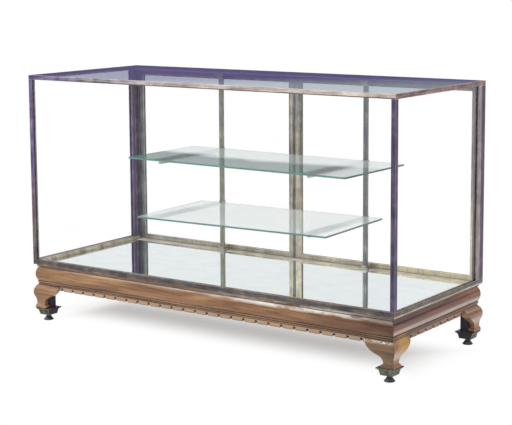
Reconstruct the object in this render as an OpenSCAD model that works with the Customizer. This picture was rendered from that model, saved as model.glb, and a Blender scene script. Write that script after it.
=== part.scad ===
// Shop display cabinet: a glazed metal-framed case with two back doors and two
// glass shelves, on a moulded wooden base with four ogee bracket feet.
// Millimetres. The origin lies on the floor under the middle of the whole cabinet,
// +X runs to the right seen from the front and +Y towards the back doors.

/* [Case] */
// Outside width of the glazed case
case_w = 1524; // [1300:4:1800]
// Outside depth of the glazed case
case_d = 614; // [560:2:700]
// Height of the glazed case, from the underside of the sills to the top
case_h = 698; // [660:2:800]

/* [Frame bars] */
// Width and depth of the square bars of the frame
bar = 16; // [15:0.5:19]
// Depth of the back posts, from the back face
back_post_d = 52; // [40:1:56]
// Thickness of the lip that each pane lies against
lip = 4; // [3:0.5:4.5]
// Height of the front and side sills
sill_h = 18.5; // [16:0.5:24]
// Depth of the glass groove in the sills
sill_groove = 8; // [6:0.5:9]
// Depth of the glass groove under the top rails
rail_groove = 6; // [5:0.5:6.5]
// Width of the rim round the top pane
top_rim = 6; // [5:0.5:8]
// Depth of the back threshold and of the ledge above it, from the back face
ledge_depth = 58; // [58:1:70]
// Thickness of the ledge under the back of the top pane
ledge_t = 4; // [3:0.5:4]

/* [Glass] */
// Thickness of the case panes
glass_t = 6; // [5:0.5:6.5]
// Thickness of the mirror plate
mirror_t = 5; // [4:0.5:6]
// Width and height of the rounded beads on the mirror
mirror_bead = 12; // [8:0.5:14]

/* [Base] */
// Height of the half-round roll of the base moulding
roll_h = 52; // [40:1:60]
// Distance of the roll's crown inside the case face
roll_reveal = 4.5; // [2:0.5:6]
// How far the roll stands out of its bed
roll_sweep = 8; // [5:0.5:9]
// Height of the fillet between the roll and the case
top_fillet_h = 9; // [6:0.5:12]
// Distance of that fillet inside the case face
top_fillet_reveal = 9; // [6:0.5:11]
// Height of the grooves above and below the fillets
quirk_h = 2.5; // [1.5:0.5:4]
// Distance of the grooves inside the case face
quirk_reveal = 15; // [14:0.5:17]
// Height of the fillet under the roll
mid_fillet_h = 5; // [3:0.5:8]
// Distance of that fillet inside the case face
mid_fillet_reveal = 10; // [8:0.5:12]
// Height of the lowest fillet
low_fillet_h = 4; // [3:0.5:6]
// Distance of the lowest fillet inside the case face
low_fillet_reveal = 12; // [11:0.5:13.5]
// Distance of the base rails' inner face from the case face
rail_inner = 52; // [48:1:64]
// Thickness of the deck board
deck_t = 12; // [9:0.5:18]
// Width of the rebate that the deck board lies in
deck_rebate = 12; // [8:1:16]

/* [Dentils] */
// Height of the dentil strip
dentil_h = 16; // [12:0.5:20]
// Spacing of the dentils
dentil_pitch = 50.8; // [40:0.2:60]
// Width of the notch between two dentils
notch_w = 10; // [6:0.5:14]
// Height of the notch
notch_h = 11; // [6:0.5:11.5]
// Distance of the dentils inside the case face
dentil_reveal = 14; // [13:0.5:17]

/* [Feet] */
// Height of the wooden foot
foot_h = 90; // [84:1:110]
// Width of each wing at its top
foot_w = 116; // [106:1:130]
// Distance of the wings' inner face from the case face
wing_inner = 27; // [24:0.5:30]
// How far the ogee swells past the case face
swell = 1.5; // [0:0.25:4]
// Distance of the ogee's top edge inside the case face
ogee_top_reveal = 13; // [11:0.5:14]
// Distance of the ogee's waist inside the case face
waist_reveal = 7; // [5:0.5:9]
// Height of the fullest point below the top of the foot
swell_drop = 30; // [26:1:34]
// Height of the waist above the underside of the foot
waist_rise = 20; // [17:1:24]
// Radius of the bead round the toe
toe_r = 5.5; // [4:0.5:6]
// Distance of the toe bead inside the case face
toe_reveal = 2.6; // [2:0.2:4]
// How far the toe reaches past the neck along the wing
toe_spread = 9; // [7:0.5:12]
// Height of the fillet on the toe bead
toe_fillet_h = 2.5; // [1.5:0.5:3]
// Width of the wing at its narrowest
neck_w = 43.5; // [41:0.5:48]
// Radius of the hollow curve at the neck
neck_r = 28; // [24:1:30]
// Height of the neck above the underside of the foot
neck_rise = 15; // [13:0.5:17]
// Radius of the full curve above the neck
shoulder_r = 100; // [85:1:130]
// Width of the corner block behind the wings
block_w = 28; // [26:1:32]

/* [Shoes and levelling screws] */
// Distance of the shoe's rim inside the case face
shoe_reveal = 3; // [2:0.5:5]
// Width of the shoe's rim
shoe_w = 66; // [62:1:68]
// Height of each of the two rims of the shoe
shoe_rim_h = 3.5; // [2.5:0.5:5]
// How far the second rim steps in
shoe_step = 4; // [2:0.5:5]
// Width of the shoe's socket at its lower end
socket_w = 44; // [40:1:48]
// Height of the shoe's socket
socket_h = 18; // [14:1:22]
// How far the socket spreads towards its top, on each side
socket_flare = 4; // [1:0.5:4]
// Radius of the levelling screw's shank
shank_r = 6; // [5:0.25:7]
// Radius of the pad
pad_r = 18; // [14:0.5:20]
// Thickness of the pad's rim
pad_rim = 3; // [2:0.5:4]
// Radius of the neck above the pad
pad_neck_r = 8.5; // [8:0.5:10]
// Height of the pad and its neck, from the floor to the shoe
pad_h = 22; // [18:1:28]
// Length of the shank above the foot's underside
shank_reach = 26; // [20:1:34]

/* [Doors] */
// Thickness of the doors
door_t = 14; // [12:0.5:14]
// Width of the stiles
stile_w = 25; // [20:0.5:28]
// Height of the top rails of the doors
door_top_h = 20; // [16:0.5:26]
// Height of the bottom rails of the doors
door_foot_h = 16; // [14:0.5:24]
// Width of the glass rebate in the doors
door_rebate = 7; // [6:0.5:7]
// Thickness of the outer lip of the doors
door_lip = 3; // [2.5:0.25:4]
// Thickness of the door panes
door_glass_t = 4; // [3:0.5:4]
// Gap between a door and its post
door_gap = 1.5; // [1:0.25:2]
// Gap between the two doors
meeting_gap = 3; // [2.8:0.1:4]
// Gap under and above the doors
door_clear = 1.5; // [1:0.25:2.5]
// Width of the stops that the doors close against
stop_w = 8; // [6:0.5:10]
// Thickness of the stops
stop_t = 5.5; // [4:0.5:5.5]

/* [Hinges] */
// Height of a hinge
hinge_h = 60; // [50:1:80]
// Radius of the knuckles
knuckle_r = 3.5; // [3:0.1:4]
// Radius of the pins
pin_r = 1.6; // [1.2:0.1:2]
// Reach of each leaf from the pin's axis
leaf_w = 12; // [10:0.5:14]
// Thickness of the leaves
leaf_t = 1.3; // [1:0.1:1.6]
// Distance of each hinge's middle from the end of the door
hinge_inset = 105; // [80:1:150]

/* [Door hardware] */
// Height of the latch above the bottom of the doors
latch_rise = 366; // [250:2:450]
// Distance of the latch and the bolt from the meeting edge
latch_inset = 5.5; // [5.5:0.1:5.9]
// Radius of the knob
knob_r = 8; // [7:0.25:8]
// Projection of the knob from the door's back face
knob_reach = 22; // [18:0.5:28]
// Radius of the knob's spindle
spindle_r = 2.5; // [2:0.1:2.8]
// Length of the latch tongue from its spindle
tongue_l = 24; // [20:0.5:28]
// Thickness of the latch tongue
tongue_t = 2.5; // [2:0.25:3]
// Radius of the slide bolt
bolt_r = 2.5; // [2:0.1:2.8]
// Length of the slide bolt
bolt_l = 76; // [68:1:90]
// Travel of the slide bolt
bolt_travel = 12; // [8:0.5:14]
// Distance of the slide bolt's axis from the door's back face
bolt_out = 6; // [5:0.25:7]
// Width of the bolt's plate
plate_w = 9.5; // [8:0.25:10]

/* [Standards and shelves] */
// Width of the square standards
standard_w = 15; // [12:0.5:16]
// Wall of the standards
standard_wall = 2; // [1.5:0.25:3]
// Corner radius of the standards
standard_r = 2; // [1:0.25:2.5]
// Spacing of the two standards
standard_pitch = 635; // [500:5:700]
// Distance of the standards' axes from the back face of the case
standard_back = 38; // [38:0.5:40]
// Width of the standards' flanges
flange_w = 36; // [32:1:36]
// Thickness of the flanges
flange_t = 5; // [4:0.5:6]
// Width of the second step of the top flanges
flange_step_w = 28; // [25:0.5:29]
// Height of each further step of a flange
flange_step_h = 8; // [6:0.5:12]
// Width of the sockets of the flanges
flange_socket_w = 21; // [20.5:0.5:23]
// Wall of the bracket collars
collar_wall = 2; // [1.6:0.1:3]
// Height of the bracket collars
collar_h = 30; // [28:1:34]
// How far the collars reach below the shelf glass
collar_drop = 24; // [22:0.5:26]
// Thickness of the bracket arms
arm_t = 10; // [8:0.5:12]
// Length of the bracket arms, in front of the collar
arm_l = 370; // [300:2:376]
// Depth of the arm's tip
arm_tip_h = 12; // [8:0.5:13]
// Depth of the arm at the collar
arm_root_h = 22; // [16:0.5:22]
// Radius of the cove under the arm where it meets the collar
arm_cove = 9; // [5:0.5:10]
// Thickness of the shelf glass
shelf_t = 6; // [5:0.5:10]
// Corner radius of the shelf glass
shelf_r = 4; // [2:0.5:8]
// Height of the upper shelf's top above the underside of the sills
upper_rise = 400; // [380:2:430]
// Height of the lower shelf's top above the underside of the sills
lower_rise = 197.5; // [170:0.5:210]
// Width of the upper shelf
upper_w = 932; // [740:2:1000]
// Depth of the upper shelf
upper_d = 386; // [366:1:420]
// Width of the lower shelf
lower_w = 776; // [740:2:1000]
// Depth of the lower shelf
lower_d = 409; // [366:1:430]
// How far the loose upper shelf lies to the right of the middle
upper_shift = 18; // [-20:1:20]
// How far the loose lower shelf lies to the right of the middle
lower_shift = 13; // [-20:1:20]
// How far the loose upper shelf is turned on its brackets, in degrees
upper_turn = -1; // [-3:0.1:3]
// How far the loose lower shelf is turned on its brackets, in degrees
lower_turn = 2.6; // [-3:0.1:3]

/* [Clearances] */
// Gap between seated pieces of the frame and the base
seat = 0.1; // [0.05:0.05:0.2]
// Gap round the edge of a pane
pane_edge = 0.5; // [0.3:0.1:1]
// Gap on each face of a pane
pane_face = 0.1; // [0.05:0.05:0.2]
// Gap between a moving piece and its neighbour
run = 0.3; // [0.25:0.05:0.4]
// Radial clearance of a pin or spindle in its bore
bore_clear = 0.06; // [0.04:0.01:0.09]

/* [Hidden] */
$fn = 48;

// Heights from the floor up
shoe_h = socket_h + 2 * shoe_rim_h;
z_foot = pad_h + shoe_h;
z_base = z_foot + foot_h;
base_h = low_fillet_h + quirk_h + mid_fillet_h + roll_h + quirk_h + top_fillet_h;
z_sill = z_base + base_h;
z_top = z_sill + case_h;
z_threshold = z_sill + mirror_t;

// Levels of the base moulding above the top of the feet
z_mid_fillet = low_fillet_h + quirk_h;
z_roll = z_mid_fillet + mid_fillet_h;
z_top_quirk = z_roll + roll_h;
z_top_fillet = z_top_quirk + quirk_h;

// Frame and glazing
corner_core = lip + pane_face + glass_t;
back_extra = back_post_d - bar;
back_core = corner_core + back_extra;
top_seat = glass_t + 0.5;
pane_inner = corner_core + seat;
rail_z = z_top - bar;
groove_z = rail_z + rail_groove;
deck_edge = rail_inner - deck_rebate;

// Doors
door_w = (case_w - 2 * bar - 2 * door_gap - meeting_gap) / 2;
door_h = rail_z - z_threshold - 2 * door_clear;
z_door = z_threshold + door_clear;
axis_out = knuckle_r + run;
door_pane_y = door_lip + pane_face;

// The knob stands out furthest at the back and the feet at the front, and the
// origin lies midway between them.
case_y = (swell - knob_reach) / 2;

// Standards and shelves
standard_y = case_d - standard_back;
ledge_z = groove_z - ledge_t;
collar_w = standard_w + 2 * run + 2 * collar_wall;
collar_front = standard_y - collar_w / 2;

// Sides run 0 front, 1 right, 2 back, 3 left
function side_len(n) = n % 2 == 0 ? case_w : case_d;
function side_dep(n) = n % 2 == 0 ? case_d : case_w;

// How much further in a side pane starts and ends, for the deep back posts
function start_extra(n) = n == 3 ? back_extra : 0;
function end_extra(n) = n == 1 ? back_extra : 0;

// Radius of an arc from its half-height and its rise
function arc_r(half, rise) = (half * half + rise * rise) / (2 * rise);

// Two curves that run into each other lap by this much, so that they cross
lap = 0.05;

// The ogee in section, from the case face inwards: the full curve's radius, and
// the hollow curve's radius that runs into it without a corner
full_r = arc_r(swell_drop, ogee_top_reveal + swell);
full_c = [full_r - swell, foot_h - swell_drop];
ogee_dx = full_c[0] - waist_reveal;
ogee_dz = foot_h - swell_drop - waist_rise;
hollow_r = (ogee_dx * ogee_dx + ogee_dz * ogee_dz - full_r * full_r) / (2 * (full_r - ogee_dx));
hollow_c = [waist_reveal - hollow_r, waist_rise];
ogee_turn = full_c + (hollow_c - full_c) * full_r / (full_r + hollow_r);

// The fillet on the toe's bead lies a little way in from the bead's crown
toe_top = 2 * toe_r - 0.5;
toe_fillet_reveal = toe_reveal + 1.6;

// The scroll-cut edge of a wing, from the corner along the wing: the shoulder's
// centre lies shoulder_r from the wing's top corner and touches the neck's curve
neck_c = [neck_w + neck_r, neck_rise];
wing_tip = [foot_w, foot_h];
tip_gap = norm(wing_tip - neck_c);
tip_dir = (wing_tip - neck_c) / tip_gap;
tip_along = (pow(neck_r + shoulder_r, 2) - shoulder_r * shoulder_r + tip_gap * tip_gap) / (2 * tip_gap);
tip_across = sqrt(pow(neck_r + shoulder_r, 2) - tip_along * tip_along);
shoulder_c = neck_c + tip_dir * tip_along + [-tip_dir[1], tip_dir[0]] * tip_across;
scroll_turn = neck_c + (shoulder_c - neck_c) * neck_r / (neck_r + shoulder_r);

// Placing

// Children are drawn with +X along side n from its left end, +Y inwards and
// their origin at the outer corner
module side(n) {
    translate([0, case_y, 0])
    rotate(90 * n)
    translate([-side_len(n) / 2, -side_dep(n) / 2, 0])
    children();
}

// A bar along +X whose section is drawn in the Y-Z plane
module run_x(length) {
    rotate([90, 0, 90])
    linear_extrude(length)
    children();
}

// A bar along side n with both ends mitred
module mitred(n, depth, low, high) {
    length = side_len(n);
    side(n)
    intersection() {
        run_x(length) children();
        translate([0, 0, low])
        linear_extrude(high - low)
        polygon([[seat, 0], [length - seat, 0], [length - depth - seat, depth], [depth + seat, depth]]);
    }
}

// A box between two corners
module block(a, b) {
    translate(a) cube(b - a);
}

// A rectangle with round corners, its left front corner at the origin
module round_rect(w, d, r) {
    translate([r, 0]) square([w - 2 * r, d]);
    translate([0, r]) square([w, d - 2 * r]);
    for (x = [r, w - r], y = [r, d - r]) translate([x, y]) circle(r);
}

// Base

module base_section() {
    roll_flat = roll_reveal + roll_sweep;
    r = arc_r(roll_h / 2, roll_sweep);
    polygon([
        [top_fillet_reveal, base_h], [deck_edge, base_h], [deck_edge, base_h - deck_t - seat],
        [rail_inner, base_h - deck_t - seat], [rail_inner, -dentil_h], [wing_inner, -dentil_h],
        [wing_inner, 0], [low_fillet_reveal, 0], [low_fillet_reveal, low_fillet_h],
        [quirk_reveal, low_fillet_h], [quirk_reveal, z_mid_fillet],
        [mid_fillet_reveal, z_mid_fillet], [mid_fillet_reveal, z_roll],
        [roll_flat, z_roll], [roll_flat, z_top_quirk],
        [quirk_reveal, z_top_quirk], [quirk_reveal, z_top_fillet],
        [top_fillet_reveal, z_top_fillet]
    ]);
    intersection() {
        translate([roll_reveal + r, z_roll + roll_h / 2]) circle(r, $fn = 96);
        translate([0, z_roll]) square([roll_flat + 1, roll_h]);
    }
}

module base_rail(n) {
    color("sienna")
    mitred(n, rail_inner, z_base - dentil_h, z_sill)
    translate([0, z_base]) base_section();
}

module base_rail_front() base_rail(0);
module base_rail_right() base_rail(1);
module base_rail_back() base_rail(2);
module base_rail_left() base_rail(3);

module dentil_strip(n) {
    start = foot_w + seat;
    length = side_len(n) - 2 * start;
    spaces = floor((length - notch_w) / dentil_pitch);
    side(n)
    translate([start, dentil_reveal, z_base - dentil_h])
    difference() {
        cube([length, wing_inner - dentil_reveal - seat, dentil_h - seat]);
        for (i = [0 : spaces])
            translate([length / 2 + (i - spaces / 2) * dentil_pitch - notch_w / 2, -1, -1])
            cube([notch_w, wing_inner, notch_h + 1]);
    }
}

module dentil_strips() {
    color("peru")
    for (n = [0, 1, 3]) dentil_strip(n);
}

module deck_board() {
    inset = deck_edge + pane_edge;
    color("burlywood")
    side(0)
    block([inset, inset, z_sill - deck_t], [case_w - inset, case_d - inset, z_sill - seat]);
}

module mirror_plate() {
    inset = bar + pane_edge;
    color("lightcyan")
    side(0)
    block([inset, inset, z_sill + seat],
          [case_w - inset, case_d - ledge_depth - pane_edge, z_sill + seat + mirror_t]);
}

// Quarter-round bead against a sill
module bead_section() {
    z = z_sill + mirror_t + 2 * seat;
    intersection() {
        translate([bar + seat, z]) circle(mirror_bead);
        translate([bar + seat, z]) square(mirror_bead);
    }
}

module mirror_beads() {
    stop_front = case_d - door_t - run - stop_t - seat;
    high = z_sill + mirror_t + mirror_bead + 1;
    color("goldenrod") {
        mitred(0, bar + mirror_bead + seat, z_sill, high) bead_section();
        for (n = [1, 3])
            intersection() {
                mitred(n, bar + mirror_bead + seat, z_sill, high) bead_section();
                side(0) block([0, 0, z_sill], [case_w, stop_front, high]);
            }
    }
}

// Feet

module ogee_section() {
    toe_mid = toe_reveal + toe_r;
    depth = wing_inner - seat;
    difference() {
        translate([0, toe_r]) square([depth, ogee_turn[1] - toe_r]);
        translate(hollow_c) circle(hollow_r, $fn = 96);
    }
    intersection() {
        translate(full_c) circle(full_r + lap, $fn = 96);
        translate([-swell - 1, waist_rise]) square([depth + swell + 1, foot_h - seat - waist_rise]);
    }
    intersection() {
        translate([toe_mid, toe_r - lap]) circle(toe_r);
        square([depth, 2 * toe_r]);
    }
    translate([toe_mid, 0]) square([depth - toe_mid, toe_r + 1]);
    translate([toe_fillet_reveal, toe_top]) square([depth - toe_fillet_reveal, toe_fillet_h]);
}

module scroll_outline() {
    left = swell + 1;
    difference() {
        translate([-left, 0]) square([scroll_turn[0] + left, scroll_turn[1]]);
        translate(neck_c) circle(neck_r, $fn = 96);
    }
    intersection() {
        translate(shoulder_c) circle(shoulder_r + lap, $fn = 96);
        translate([-left, neck_rise]) square([foot_w + left, foot_h - neck_rise]);
    }
    translate([-left, neck_rise]) square([neck_w / 2 + left, foot_h - neck_rise]);
    // The toe's bead and fillet run round the end of the wing
    intersection() {
        translate([neck_w + toe_spread - toe_r, toe_r - lap]) circle(toe_r);
        translate([-left, 0]) square([foot_w, 2 * toe_r]);
    }
    translate([neck_w / 2, 0]) square([neck_w / 2 + toe_spread - toe_r, toe_top + 0.5]);
    translate([neck_w / 2, toe_top]) square([neck_w / 2 + toe_spread - toe_r, toe_fillet_h]);
}

// A wing along +X, mitred where it meets the wing round the corner
module wing() {
    reach = swell + 1;
    intersection() {
        translate([-reach, 0, z_foot]) run_x(foot_w + reach) ogee_section();
        translate([0, wing_inner, z_foot]) rotate([90, 0, 0]) linear_extrude(wing_inner + reach) scroll_outline();
        translate([0, 0, z_foot])
        linear_extrude(foot_h)
        polygon([
            [seat - reach, -reach], [foot_w, -reach], [foot_w, wing_inner], [wing_inner + seat, wing_inner]
        ]);
    }
}

module foot(n) {
    color("chocolate")
    side(n) {
        wing();
        mirror([1, -1, 0]) wing();
    }
}

module foot_front_left() foot(0);
module foot_front_right() foot(1);
module foot_back_right() foot(2);
module foot_back_left() foot(3);

// The levelling screw's axis lies in the middle of the shoe
shoe_mid = shoe_reveal + shoe_w / 2;

module foot_blocks() {
    low = wing_inner + seat;
    color("tan")
    for (n = [0 : 3])
        side(n)
        difference() {
            block([low, low, z_foot + seat], [low + block_w, low + block_w, z_base - dentil_h - seat]);
            translate([shoe_mid, shoe_mid, z_foot]) cylinder(h = shank_reach + 2, r = shank_r + run);
        }
}

// The shoe's tapering socket, drawn across X; both ways together they give its
// four sloping sides
module socket_side() {
    half = socket_w / 2;
    translate([0, shoe_w, 0])
    rotate([90, 0, 0])
    linear_extrude(2 * shoe_w)
    polygon([[-half, 0], [half, 0], [half + socket_flare, socket_h], [-half - socket_flare, socket_h]]);
}

module shoe() {
    outer = shoe_w / 2;
    inner = outer - shoe_step;
    difference() {
        union() {
            intersection() {
                socket_side();
                rotate(90) socket_side();
            }
            block([-inner, -inner, socket_h], [inner, inner, socket_h + shoe_rim_h]);
            block([-outer, -outer, socket_h + shoe_rim_h], [outer, outer, shoe_h]);
        }
        translate([0, 0, -1]) cylinder(h = shoe_h + 2, r = shank_r + bore_clear);
    }
}

module foot_shoes() {
    color("darkseagreen")
    for (n = [0 : 3])
        side(n)
        translate([shoe_mid, shoe_mid, pad_h])
        shoe();
}

module leveller(n) {
    cone_top = pad_h * 0.6;
    color("dimgray")
    side(n)
    translate([shoe_mid, shoe_mid, 0]) {
        rotate_extrude()
        polygon([
            [0, 0], [pad_r - 1, 0], [pad_r, 1], [pad_r, pad_rim], [pad_r - 2, pad_rim + 1.5],
            [pad_neck_r + 1, cone_top], [pad_neck_r, cone_top + 2], [pad_neck_r, pad_h - run], [0, pad_h - run]
        ]);
        cylinder(h = z_foot + shank_reach, r = shank_r);
    }
}

module leveller_front_left() leveller(0);
module leveller_front_right() leveller(1);
module leveller_back_right() leveller(2);
module leveller_back_left() leveller(3);

// Case frame

module sill_section() {
    translate([0, seat]) square([bar, sill_h - sill_groove - seat]);
    translate([0, seat]) square([lip, sill_h - seat]);
}

module sill_front() {
    color("dimgray")
    mitred(0, bar, z_sill, z_sill + sill_h)
    translate([0, z_sill]) sill_section();
}

// A side sill is mitred at the front and runs square to the back face
module side_sill(n, plan) {
    color("dimgray")
    side(n)
    intersection() {
        run_x(case_d) translate([0, z_sill]) sill_section();
        translate([0, 0, z_sill])
        linear_extrude(sill_h)
        polygon(plan);
    }
}

module sill_right() side_sill(1, [[seat, 0], [case_d, 0], [case_d, bar], [bar + seat, bar]]);
module sill_left() side_sill(3, [[0, 0], [case_d - seat, 0], [case_d - bar - seat, bar], [0, bar]]);

module threshold() {
    color("wheat")
    side(2)
    block([bar + seat, 0, z_sill + seat], [case_w - bar - seat, ledge_depth, z_threshold]);
}

// A front post: a solid corner with a lip along each pane, and a tenon at each
// end that fills the corner of the grooves
module front_post(n) {
    color("slategray")
    side(n) {
        translate([0, 0, z_sill + sill_h + seat])
        linear_extrude(rail_z - z_sill - sill_h - 2 * seat)
        union() {
            square(corner_core);
            square([bar, lip]);
            square([lip, bar]);
        }
        block([lip + seat, lip + seat, z_sill + sill_h - sill_groove + seat],
              [corner_core, corner_core, groove_z - seat]);
    }
}

// A back post, drawn at the right: deeper than it is wide, with one lip for the
// side pane, a full face for the door to close beside, and a tenon at each end
module back_post() {
    translate([0, 0, z_sill + sill_h + seat])
    linear_extrude(rail_z - z_sill - sill_h - 2 * seat)
    union() {
        square([bar, back_core]);
        square([lip, back_post_d]);
    }
    block([lip + seat, 0, z_sill + sill_h - sill_groove + seat], [bar, back_core, z_sill + sill_h + 1]);
    block([lip + seat, bar + seat, rail_z - 1], [bar, back_core, groove_z - seat]);
}

module post_front_left() front_post(0);
module post_front_right() front_post(1);

module post_back_right() {
    color("slategray")
    side(2) back_post();
}

module post_back_left() {
    color("slategray")
    side(3) mirror([1, -1, 0]) back_post();
}

module top_rail_section() {
    difference() {
        square(bar);
        translate([lip, -1]) square([bar, rail_groove + 1]);
        translate([top_rim, bar - top_seat]) square([bar, top_seat + 1]);
    }
}

module top_rail(n) {
    color("slategray")
    mitred(n, bar, rail_z, z_top)
    translate([0, rail_z]) top_rail_section();
}

module top_rail_front() top_rail(0);
module top_rail_right() top_rail(1);
module top_rail_left() top_rail(3);

// The back rail has no pane under it; a ledge inside it carries the standards
module top_rail_back() {
    color("slategray") {
        mitred(2, bar, rail_z, z_top)
        translate([0, rail_z])
        difference() {
            square(bar);
            translate([top_rim, bar - top_seat]) square([bar, top_seat + 1]);
        }
        side(2)
        block([bar + seat, bar - 1, ledge_z], [case_w - bar - seat, ledge_depth, groove_z]);
    }
}

// Glass

module glass_top() {
    inset = top_rim + pane_edge;
    z = z_top - top_seat + pane_face;
    color("powderblue", 0.4)
    side(0)
    block([inset, inset, z], [case_w - inset, case_d - inset, z + glass_t]);
}

module pane(n) {
    inset = corner_core + pane_edge;
    color("powderblue", 0.4)
    side(n)
    block([inset + start_extra(n), lip + pane_face, z_sill + sill_h - sill_groove + run],
          [side_len(n) - inset - end_extra(n), corner_core, groove_z - pane_edge]);
}

module glass_front() pane(0);
module glass_right() pane(1);
module glass_left() pane(3);

module glazing_beads() {
    low = z_sill + sill_h - sill_groove + seat;
    high = groove_z - seat;
    color("goldenrod") {
        for (n = [0, 1])
            side(n)
            block([pane_inner, pane_inner, low], [bar, bar, high]);
        side(1)
        block([side_len(1) - back_post_d, pane_inner, low], [side_len(1) - back_core - seat, bar, high]);
        side(3)
        block([back_core + seat, pane_inner, low], [back_post_d, bar, high]);
        for (n = [0, 1, 3])
            side(n) {
                x0 = bar + start_extra(n) + seat;
                x1 = side_len(n) - bar - end_extra(n) - seat;
                block([x0, pane_inner, low], [x1, bar, z_sill + sill_h]);
                block([x0, pane_inner, rail_z + seat], [x1, bar, high]);
            }
    }
}

// Strips up both sides and under the top rail, just inside the doors
module door_stops() {
    y0 = door_t + run;
    y1 = y0 + stop_t;
    x0 = bar + seat;
    z1 = rail_z - seat;
    color("darkkhaki")
    side(2) {
        for (x = [x0, case_w - x0 - stop_w])
            block([x, y0, z_threshold + seat], [x + stop_w, y1, z1]);
        block([x0 + stop_w + seat, y0, z1 - stop_w], [case_w - x0 - stop_w - seat, y1, z1]);
    }
}

// Doors

// Children are drawn with +X from the hinge edge to the meeting edge, the back
// face at y = 0 and the inside at negative y, z = 0 at the bottom edge
module door_place(right) {
    translate([0, case_y + case_d / 2, z_door])
    mirror([right ? 1 : 0, 0, 0])
    translate([bar + door_gap - case_w / 2, 0, 0])
    children();
}

module door_pocket(gap) {
    block([stile_w - door_rebate + gap, -door_t - 1, door_foot_h - door_rebate + gap],
          [door_w - stile_w + door_rebate - gap, -door_lip, door_h - door_top_h + door_rebate - gap]);
}

module door_frame() {
    difference() {
        union() {
            block([0, -door_t, 0], [stile_w, 0, door_h]);
            block([door_w - stile_w, -door_t, 0], [door_w, 0, door_h]);
        }
        door_pocket(0);
    }
    difference() {
        union() {
            block([stile_w + seat, -door_t, 0], [door_w - stile_w - seat, 0, door_foot_h]);
            block([stile_w + seat, -door_t, door_h - door_top_h], [door_w - stile_w - seat, 0, door_h]);
        }
        door_pocket(0);
    }
}

module door_frame_left() {
    color("rosybrown")
    door_place(false) door_frame();
}

module door_frame_right() {
    color("rosybrown")
    door_place(true)
    difference() {
        door_frame();
        translate([door_w - latch_inset, 1, latch_rise])
        rotate([90, 0, 0])
        cylinder(h = door_t + 2, r = spindle_r + bore_clear);
    }
}

module door_glass() {
    color("powderblue", 0.4)
    intersection() {
        door_pocket(pane_edge);
        block([0, -door_pane_y - door_glass_t, 0], [door_w, -door_pane_y, door_h]);
    }
}

module door_glass_left() door_place(false) door_glass();
module door_glass_right() door_place(true) door_glass();

module door_beads() {
    front = -door_t;
    back = -door_pane_y - door_glass_t - pane_face;
    x0 = stile_w - door_rebate + seat;
    z0 = door_foot_h - door_rebate + seat;
    z1 = door_h - door_top_h + door_rebate - seat;
    color("goldenrod") {
        for (x = [x0, door_w - stile_w])
            block([x, front, z0], [x + door_rebate - seat, back, z1]);
        for (z = [z0, door_h - door_top_h])
            block([stile_w + seat, front, z], [door_w - stile_w - seat, back, z + door_rebate - seat]);
    }
}

module door_beads_left() door_place(false) door_beads();
module door_beads_right() door_place(true) door_beads();

// Hinges

hinge_levels = [hinge_inset, door_h - hinge_inset];
knuckle_h = (hinge_h - 2 * run) / 3;
pin_head_r = pin_r + 0.9;

// Children are drawn with the pin's axis along z and z = 0 at the hinge's foot
module hinge_place(right) {
    for (z = hinge_levels)
        door_place(right)
        translate([-door_gap / 2, axis_out, z - hinge_h / 2])
        children();
}

// One leaf: a plate clear of the other leaf's knuckles, and its own knuckles on
// tabs. toward is 1 for the door's leaf and -1 for the post's.
module leaf(toward, lower_ends) {
    clear = knuckle_r + run;
    face = -axis_out + seat;
    difference() {
        union() {
            mirror([toward < 0 ? 1 : 0, 0, 0])
            block([clear, face, 0], [leaf_w, face + leaf_t, hinge_h]);
            for (z = lower_ends) {
                mirror([toward < 0 ? 1 : 0, 0, 0])
                block([0, face, z], [clear + 1, face + leaf_t, z + knuckle_h]);
                translate([0, 0, z]) cylinder(h = knuckle_h, r = knuckle_r);
            }
        }
        translate([0, 0, -1]) cylinder(h = hinge_h + 2, r = pin_r + bore_clear);
    }
}

module hinge_post_leaves() {
    color("goldenrod")
    for (right = [false, true])
        hinge_place(right) leaf(-1, [0, hinge_h - knuckle_h]);
}

module door_leaves(right) {
    color("goldenrod")
    hinge_place(right) leaf(1, [knuckle_h + run]);
}

module hinge_leaves_left() door_leaves(false);
module hinge_leaves_right() door_leaves(true);

// Loose pins with a ball head on the upper knuckle
module hinge_pins() {
    color("darkgoldenrod")
    for (right = [false, true])
        hinge_place(right) {
            cylinder(h = hinge_h + pin_head_r, r = pin_r);
            translate([0, 0, hinge_h + pin_head_r + seat]) sphere(pin_head_r);
        }
}

// Latch and bolt

module latch_place() {
    door_place(true)
    translate([door_w - latch_inset, 0, latch_rise])
    rotate([90, 0, 0])
    children();
}

// The knob is turned about its spindle; z runs inwards from the door's back face
module latch_knob() {
    neck = knob_r * 0.45;
    spindle_end = door_t + run + tongue_t + 1;
    color("darkgoldenrod")
    latch_place() {
        rotate_extrude()
        polygon([
            [0, -knob_reach], [knob_r - 2.5, -knob_reach], [knob_r - 0.6, -knob_reach + 1.6],
            [knob_r, -knob_reach + 4], [knob_r - 0.8, -knob_reach + 7], [neck, -knob_reach + 11],
            [neck, -4], [knob_r - 1.5, -2], [knob_r - 1.5, -run], [0, -run]
        ]);
        translate([0, 0, -1]) cylinder(h = spindle_end + 1, r = spindle_r);
    }
}

// At rest the tongue hangs straight down, clear of the other door
module latch_tongue() {
    half = spindle_r + 2.2;
    color("goldenrod")
    latch_place()
    translate([0, 0, door_t + run])
    difference() {
        linear_extrude(tongue_t) {
            circle(half);
            translate([-half, -tongue_l + half]) square([2 * half, tongue_l - half]);
            translate([0, -tongue_l + half]) circle(half);
        }
        translate([0, 0, -1]) cylinder(h = tongue_t + 2, r = spindle_r + bore_clear);
    }
}

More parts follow.
